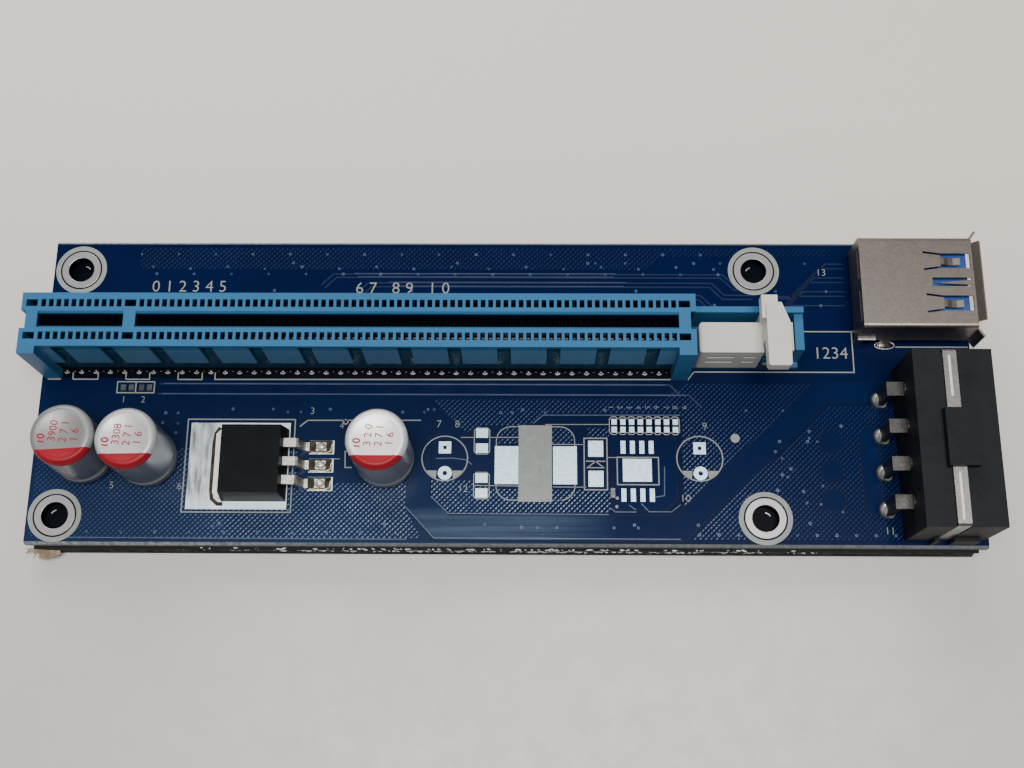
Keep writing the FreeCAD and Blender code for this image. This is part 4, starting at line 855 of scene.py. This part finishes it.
solder = {
    "rowPitch": 2, "rowY": 2.3, "rowLeft": -60.8, "rowCount": 43, "farRowY": 9.75,
    "shadow": (-61.8, 1.45, 23.6, 3.2),
    "inletX": 51.2, "inletY": -9.15, "inletPitch": 5.08, "socketLegs": (6.45, 20), "canLeads": 1.75,
    "footTop": 0.55, "frameTop": 0.385, "goldTop": 0.445,
    "ridges": ((57.55, -3.9, 57.85, 1.6), (57.55, -20, 57.85, -13.9)), "ridgeZ": (15.18, 15.24),
    "seam": (48.3, 6.45, 50.7, 6.6), "seamZ": (2.2, 2.5), "socketFlux": (51.6, 6.15, 53.2, 6.75),
}


def makeSlotSolder():
    bright, dull, strip = (bmesh.new() for count in range(3))
    addBlock(strip, *solder["shadow"], *layer["shadow"])
    finishPiece("slot_shadow", strip, "maskShadow", "laminate")
    y = solder["rowY"] + 0.1
    for index in range(solder["rowCount"]):
        x = solder["rowLeft"] + index * solder["rowPitch"]
        # painted highlight: a bright solder crescent on the near side of each joint
        addStroke(bright, arcPoints(x, y, 0.36, 215, 330, 8), 0.17, boardTop, boardTop + 0.2)
        addBlob(dull, x, y, boardTop, 0.62, 0.6, 0.3)
        addBlock(dull, x + 0.85, y - 0.08, x + 1.2, y + 0.06, boardTop, boardTop + 0.12)
        addBlob(dull, x, solder["farRowY"], boardTop, 0.9, 0.9, 0.42)
    finishPiece("slot_solder_glints", bright, "solderBright", "tin")
    finishPiece("slot_joints", dull, "dullSolder", "tin", smooth=True)


def makeLeadSolder():
    bm = bmesh.new()
    for index in range(4):
        x, y = solder["inletX"], solder["inletY"] + solder["inletPitch"] * (index - 1.5)
        place = Matrix.Translation((x, y, boardTop + 0.5))
        bmesh.ops.create_cone(bm, cap_ends=True, segments=20, radius1=1.25, radius2=0.85, depth=1,
                              matrix=place)
        addBlob(bm, x - 0.2, y - 0.2, boardTop + 0.25, 1.5, 1.7, 1.5)
        addBlob(bm, x + 0.3, y - 0.7, boardTop + 0.1, 1.2, 0.9, 0.8)
    for y in solder["socketLegs"]:
        angles = [math.tau * (step % 20) / 20 for step in range(21)]
        collar = [(52.5 + 1.35 * math.cos(angle), y + 0.55 * math.sin(angle)) for angle in angles]
        addStroke(bm, collar, 0.12, boardTop, boardTop + 0.12)
        addBlob(bm, 52, y, boardTop, 1.1, 0.7, 0.3)
    for look in caps.values():
        x, y = look["centre"]
        for side in (-1, 1):
            addBlob(bm, x, y + solder["canLeads"] * side, boardTop, 1.2, 1.2, 0.28)
    finishPiece("lead_solder", bm, "solderBright", "tin", smooth=True)


def makeFootSolder():
    bm, gold, flux = (bmesh.new() for count in range(3))
    top = boardTop + solder["footTop"]
    for y in feetY:
        frame = boxOutline(-26.4, y - 0.72, -23.55, y + 0.72)
        addStroke(flux, frame, 0.3, boardTop, boardTop + solder["frameTop"])
        addBlock(flux, -26.5, y - 0.6, -25.6, y + 0.6, boardTop, top + 0.03)
        addBlock(flux, -24.2, y - 0.6, -23.6, y + 0.6, boardTop, top + 0.03)
        addBlob(bm, -24.9, y, top - 0.15, 1.5, 1.2, 0.45)
        edge = [(-26.3, y - 0.78), (-24.2, y - 0.84), (-23.6, y - 0.6), (-23.42, y + 0.4)]
        addStroke(gold, edge, 0.12, boardTop, boardTop + solder["goldTop"])
    addBlock(flux, *solder["socketFlux"], *layer["tin"])
    finishPiece("regulator_solder", bm, "solderBright", "tin", smooth=True)
    finishPiece("regulator_gold", gold, "goldFlash", "tin")
    finishPiece("regulator_flux", flux, "fluxDark", "tin")


def makeMetalLines():  # raised lines along the inlet's strap, and the folded seam on the socket's near side
    ridges, seam = bmesh.new(), bmesh.new()
    for ridge in solder["ridges"]:
        addBlock(ridges, *ridge, *solder["ridgeZ"])
    finishPiece("strap_ridges", ridges, "tabTin", "tin")
    addBlock(seam, *solder["seam"], *(boardTop + z for z in solder["seamZ"]))
    finishPiece("socket_seam", seam, "tabTin", "nickel")


caps = {  # centre, lean, the red chord's distance from the centre and its slope, painted light (how brightly its top is lit), printed rows
    1: {"centre": (-56.95, -9.75), "lean": 3, "lift": 0.55, "chord": -1.95, "slope": 0.08, "topLight": 0.4,
        "numbers": ("10", "3900", "2 7 1", "1 6")},
    2: {"centre": (-48.25, -10.1), "lean": 0, "lift": 0.3, "chord": -2.1, "slope": 0.02, "topLight": 0.93,
        "numbers": ("10", "3308", "2 7 1", "1 6")},
    3: {"centre": (-16.15, -10.1), "lean": 0, "lift": 0.3, "chord": -2.2, "slope": 0, "topLight": 1.6,
        "numbers": ("10", "3 2 0", "2 7 1", "1 6")},
}

makeSlotSolder()
makeLeadSolder()
makeFootSolder()
makeMetalLines()


# printed tops of the capacitors

capTop = {
    "height": 11.6, "radius": 4, "skin": 0.02, "bright": 0.58, "dim": 0.47, "digitHeight": 1.02,
    "digitTurn": 86,
    "rows": ((-2.45, -0.7), (-1, 0.4), (0.4, 0.35), (1.75, -0.1)),
    "rim": rgb(0.3, 0.31, 0.32), "red": rgb(0.27, 0.01, 0.019), "redRim": rgb(0.18, 0.004, 0.01),
}


def topMaterial(number, look):
    # painted light: each top's colours scaled by how brightly it is lit
    bright, dim = capTop["bright"] * look["topLight"], capTop["dim"] * look["topLight"]
    topFinish = finish((bright, bright * 0.98, bright), (dim, dim, dim), 420, (0.3, 0.42), (2600, 3), 0.25)
    material, tree, shader, grain = grainMaterial(f"capTop{number}", topFinish)
    axes = objectPlace(tree)[1]
    sideways, forward = (mathNode(tree, "SUBTRACT", axes[axis], middle * mm)
                         for axis, middle in zip("XY", look["centre"]))
    edge = mathNode(tree, "MULTIPLY_ADD", sideways, look["slope"], look["chord"] * mm)
    red = spread(tree, mathNode(tree, "SUBTRACT", forward, edge), -0.00005, 0.00005, 1, 0)
    fromCentre = addNode(tree, "ShaderNodeCombineXYZ", {0: sideways, 1: forward})
    length = vectorNode(tree, "LENGTH", fromCentre.outputs[0])["Value"]
    rim = spread(tree, length, 0.00335, 0.0037, 0, 0.55)
    plain = mixColour(tree, rim, grain.outputs["Colour"], capTop["rim"])
    rose = mixColour(tree, rim, capTop["red"], capTop["redRim"])
    feed(shader, mixColour(tree, red, plain, rose))
    feed(shader, spread(tree, red, 0, 1, 0.25, 0), "Metallic")
    feed(shader, spread(tree, red, 0, 1, 0.5, 0.15), "Specular IOR Level")
    return material


def makeCapTops():
    height, skin = capTop["height"], capTop["skin"]
    rim, side = height + skin, capTop["radius"] + skin
    profile = [(0, rim - 0.15), (2.95, rim - 0.15), (3.25, rim), (3.76, rim - 0.2), (side, height - 0.7),
               (side, height - 1.1)]
    for number, look in caps.items():
        bm = bmesh.new()
        line = [bm.verts.new((across, 0, z)) for across, z in profile]
        edges = [bm.edges.new(pair) for pair in zip(line, line[1:])]
        bmesh.ops.spin(bm, geom=line + edges, cent=(0, 0, 0), axis=(0, 0, 1), angle=math.tau, steps=64,
                       use_merge=True)
        bmesh.ops.remove_doubles(bm, verts=bm.verts, dist=0.0001)
        tilt = Matrix.Rotation(math.radians(look["lean"]), 4, "Y")
        place = Matrix.Translation((*look["centre"], boardTop + look["lift"])) @ tilt
        bmesh.ops.transform(bm, matrix=place, verts=bm.verts)
        materials[f"capTop{number}"] = topMaterial(number, look)
        finishPiece(f"capacitor_top_{number}", bm, f"capTop{number}", "can_metal", smooth=True)
        for row, (words, offset) in enumerate(zip(look["numbers"], capTop["rows"])):
            spot = place @ Vector((*offset, height - 0.11))
            addDigits(f"capacitor_number_{number}_{row + 1}", words, spot.x, spot.y, capTop["digitHeight"],
                      capTop["digitTurn"], spot.z, "printRed", "can_metal", 0 if row else 0.03, tilt)


makeCapTops()
print("capacitors done")


# foam pad, torn tape and glue flakes

foam = {"cuts": (150, 50), "tear": 0.3, "flakes": 320, "left": -46, "right": 46, "front": -22.02,
        "seam": 2.98, "band": 1.4}


def roughenSlab(bm, name, cuts, depth):
    low, high = (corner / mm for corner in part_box(name))
    middle, size = (low + high) / 2, high - low
    place = Matrix.Translation((middle.x, middle.y, low.z)) @ Matrix.Diagonal((*size.xy, 1, 1))
    bmesh.ops.create_grid(bm, x_segments=cuts[0], y_segments=cuts[1], size=0.5, matrix=place)
    loop = [edge for edge in bm.edges if edge.is_boundary]
    for step in range(3):  # three rows of faces up the sides
        side = bmesh.ops.extrude_edge_only(bm, edges=loop)["geom"]
        top = vertsOf(side)
        bmesh.ops.translate(bm, vec=(0, 0, size.z / 3), verts=top)
        loop = [part for part in side
                if isinstance(part, bmesh.types.BMEdge) and all(end in top for end in part.verts)]
    bmesh.ops.holes_fill(bm, edges=loop)
    for vert in bm.verts:  # torn cell walls along the cut sides
        if low.z + 0.1 < vert.co.z < high.z - 0.1:
            away = vert.co - middle
            pull = Vector([math.copysign(1, away[axis]) if abs(away[axis]) > size[axis] / 2 - 0.01 else 0
                           for axis in (0, 1)] + [0])
            vert.co -= pull * draw(0, depth)
            vert.co.z += draw(-0.3, 0.3) * depth


def makeFoam():
    bm = bmesh.new()
    roughenSlab(bm, "insulating_pad", foam["cuts"], foam["tear"])
    pad = finishPiece("foam_pad", bm, "foamBlack", "foam")
    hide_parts("insulating_pad")


tapeLook = {
    "scraps": (((-62.9, -21.9), (-60.2, -21.9), (-60.1, -22.6), (-60.8, -23.05), (-61.6, -23.2),
               (-62.6, -23.45), (-63.1, -23.1), (-62.8, -22.6)),
               ((-64.8, -21.95), (-62.8, -21.9), (-62.9, -22.5), (-63.7, -22.5), (-64.4, -22.35))),
    "lifts": (0.02, 0.1), "thickness": 0.12, "fibres": 26, "start": -22,
}


def makeTape():
    low, high = (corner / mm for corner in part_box("torn_tape_scrap"))
    bm = bmesh.new()
    for outline, lift in zip(tapeLook["scraps"], tapeLook["lifts"]):
        addPatch(bm, outline, low.z + lift, low.z + lift + tapeLook["thickness"])
    for index in range(tapeLook["fibres"]):
        share = index / (tapeLook["fibres"] - 1)
        x = low.x + 0.35 + (high.x - low.x - 0.9) * share
        reach = draw(0.2, 0.8) * (1 if 0.3 < share < 0.85 else 0.5)
        lean = draw(-0.7, 0.5)
        end = (max(low.x + 0.1, x + lean), tapeLook["start"] - 0.2 - 1.45 * reach)
        z = draw(low.z, high.z - 0.14)
        width, thick = draw(0.06, 0.2), draw(0.05, 0.13)
        addStroke(bm, [(x, tapeLook["start"]), end], width, z, z + thick)
    tape = finishPiece("torn_tape", bm, "tapeFibre", "tape")
    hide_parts("torn_tape_scrap")


def makeFlakes():
    bm = bmesh.new()
    for index in range(foam["flakes"]):
        x = foam["left"] + (foam["right"] - foam["left"]) * random.betavariate(2.3, 2)
        z = foam["seam"] - foam["band"] * random.random() ** 1.7  # most of them just under the board
        size = draw(0.15, 1.1) * draw(0.5, 1)
        turn = Euler([draw(-0.35, 0.35) for axis in range(3)]).to_matrix().to_4x4()
        place = Matrix.Translation((x, foam["front"] - (0 if z > 2.8 else 0.06), z)) @ turn
        shape = Matrix.Diagonal((size, 0.17, draw(0.08, 0.34), 1))
        bmesh.ops.create_icosphere(bm, subdivisions=1, radius=0.7, matrix=place @ shape)
    for vert in bm.verts:
        vert.co += Vector([draw(-0.04, 0.04) for axis in range(3)])
    finishPiece("glue_flakes", bm, "flakeWhite", "foam")


makeFoam()
makeTape()
makeFlakes()


# floor, light and camera

# the far colour is painted light: the desk lighter and warmer towards the back
stage = {
    "size": 1600, "far": rgb(0.72, 0.665, 0.61), "calm": 0.72, "nearY": -55, "farY": 45,
    "top": finish((0.468, 0.466, 0.447), (0.37, 0.375, 0.37), 240, (0.3, 0.42), (900, 4)),
}


def makeStage():
    material, tree, shader, grain = grainMaterial("deskTop", stage["top"])
    axes = objectPlace(tree)[1]
    calm = mixColour(tree, stage["calm"], grain.outputs["Colour"], stage["top"]["Colour A"])
    # painted light: the desk lighter and warmer towards the back, where the light falls
    towardLight = spread(tree, axes["Y"], stage["nearY"] * mm, stage["farY"] * mm)
    feed(shader, mixColour(tree, towardLight, calm, stage["far"]))
    bm = bmesh.new()
    bmesh.ops.create_grid(bm, x_segments=1, y_segments=1, size=stage["size"] / 2)
    floor = addObject("floor", meshFrom("floor", bm))
    floor.data.materials.append(material)


lamps = {
    "overhead": {"place": (0.02, -0.12, 0.95), "size": (0.6, 0.35), "power": 10.5,
                 "colour": (1, 0.985, 0.96)},
    "behind": {"place": (-0.25, 0.95, 0.75), "size": (0.9, 0.5), "power": 9, "colour": (1, 0.97, 0.93)},
}
room = {"colour": rgb(0.80, 0.81, 0.83), "strength": 0.32}


def makeLights():
    for name, look in lamps.items():
        light = bpy.data.lights.new(name, "AREA")
        light.shape = "RECTANGLE"
        light.size, light.size_y = look["size"]
        light.energy = look["power"]
        light.color = look["colour"]
        lamp = addObject(name, light)
        lamp.location = look["place"]
        lamp.rotation_euler = (-Vector(look["place"])).to_track_quat("-Z", "Y").to_euler()
    world = bpy.data.worlds.new("room")
    world.use_nodes = True
    world.node_tree.nodes["Background"].inputs["Color"].default_value = room["colour"]
    world.node_tree.nodes["Background"].inputs["Strength"].default_value = room["strength"]
    bpy.context.scene.world = world


view = {"place": (3.32, -51.47, 171.44), "turn": (0.295472, 0.013377, 0.003024), "lens": 45.689}


def makeCamera():
    data = bpy.data.cameras.new("camera")
    data.lens = view["lens"]
    data.sensor_width = 36
    data.clip_start = 0.005
    camera = bpy.data.objects.new("camera", data)
    x, y, z = view["place"]
    camera.location = (x * mm, y * mm, (z + boardTop) * mm)
    camera.rotation_mode = "ZYX"
    camera.rotation_euler = view["turn"]
    bpy.context.scene.collection.objects.link(camera)
    bpy.context.scene.camera = camera


makeStage()
makeLights()
makeCamera()
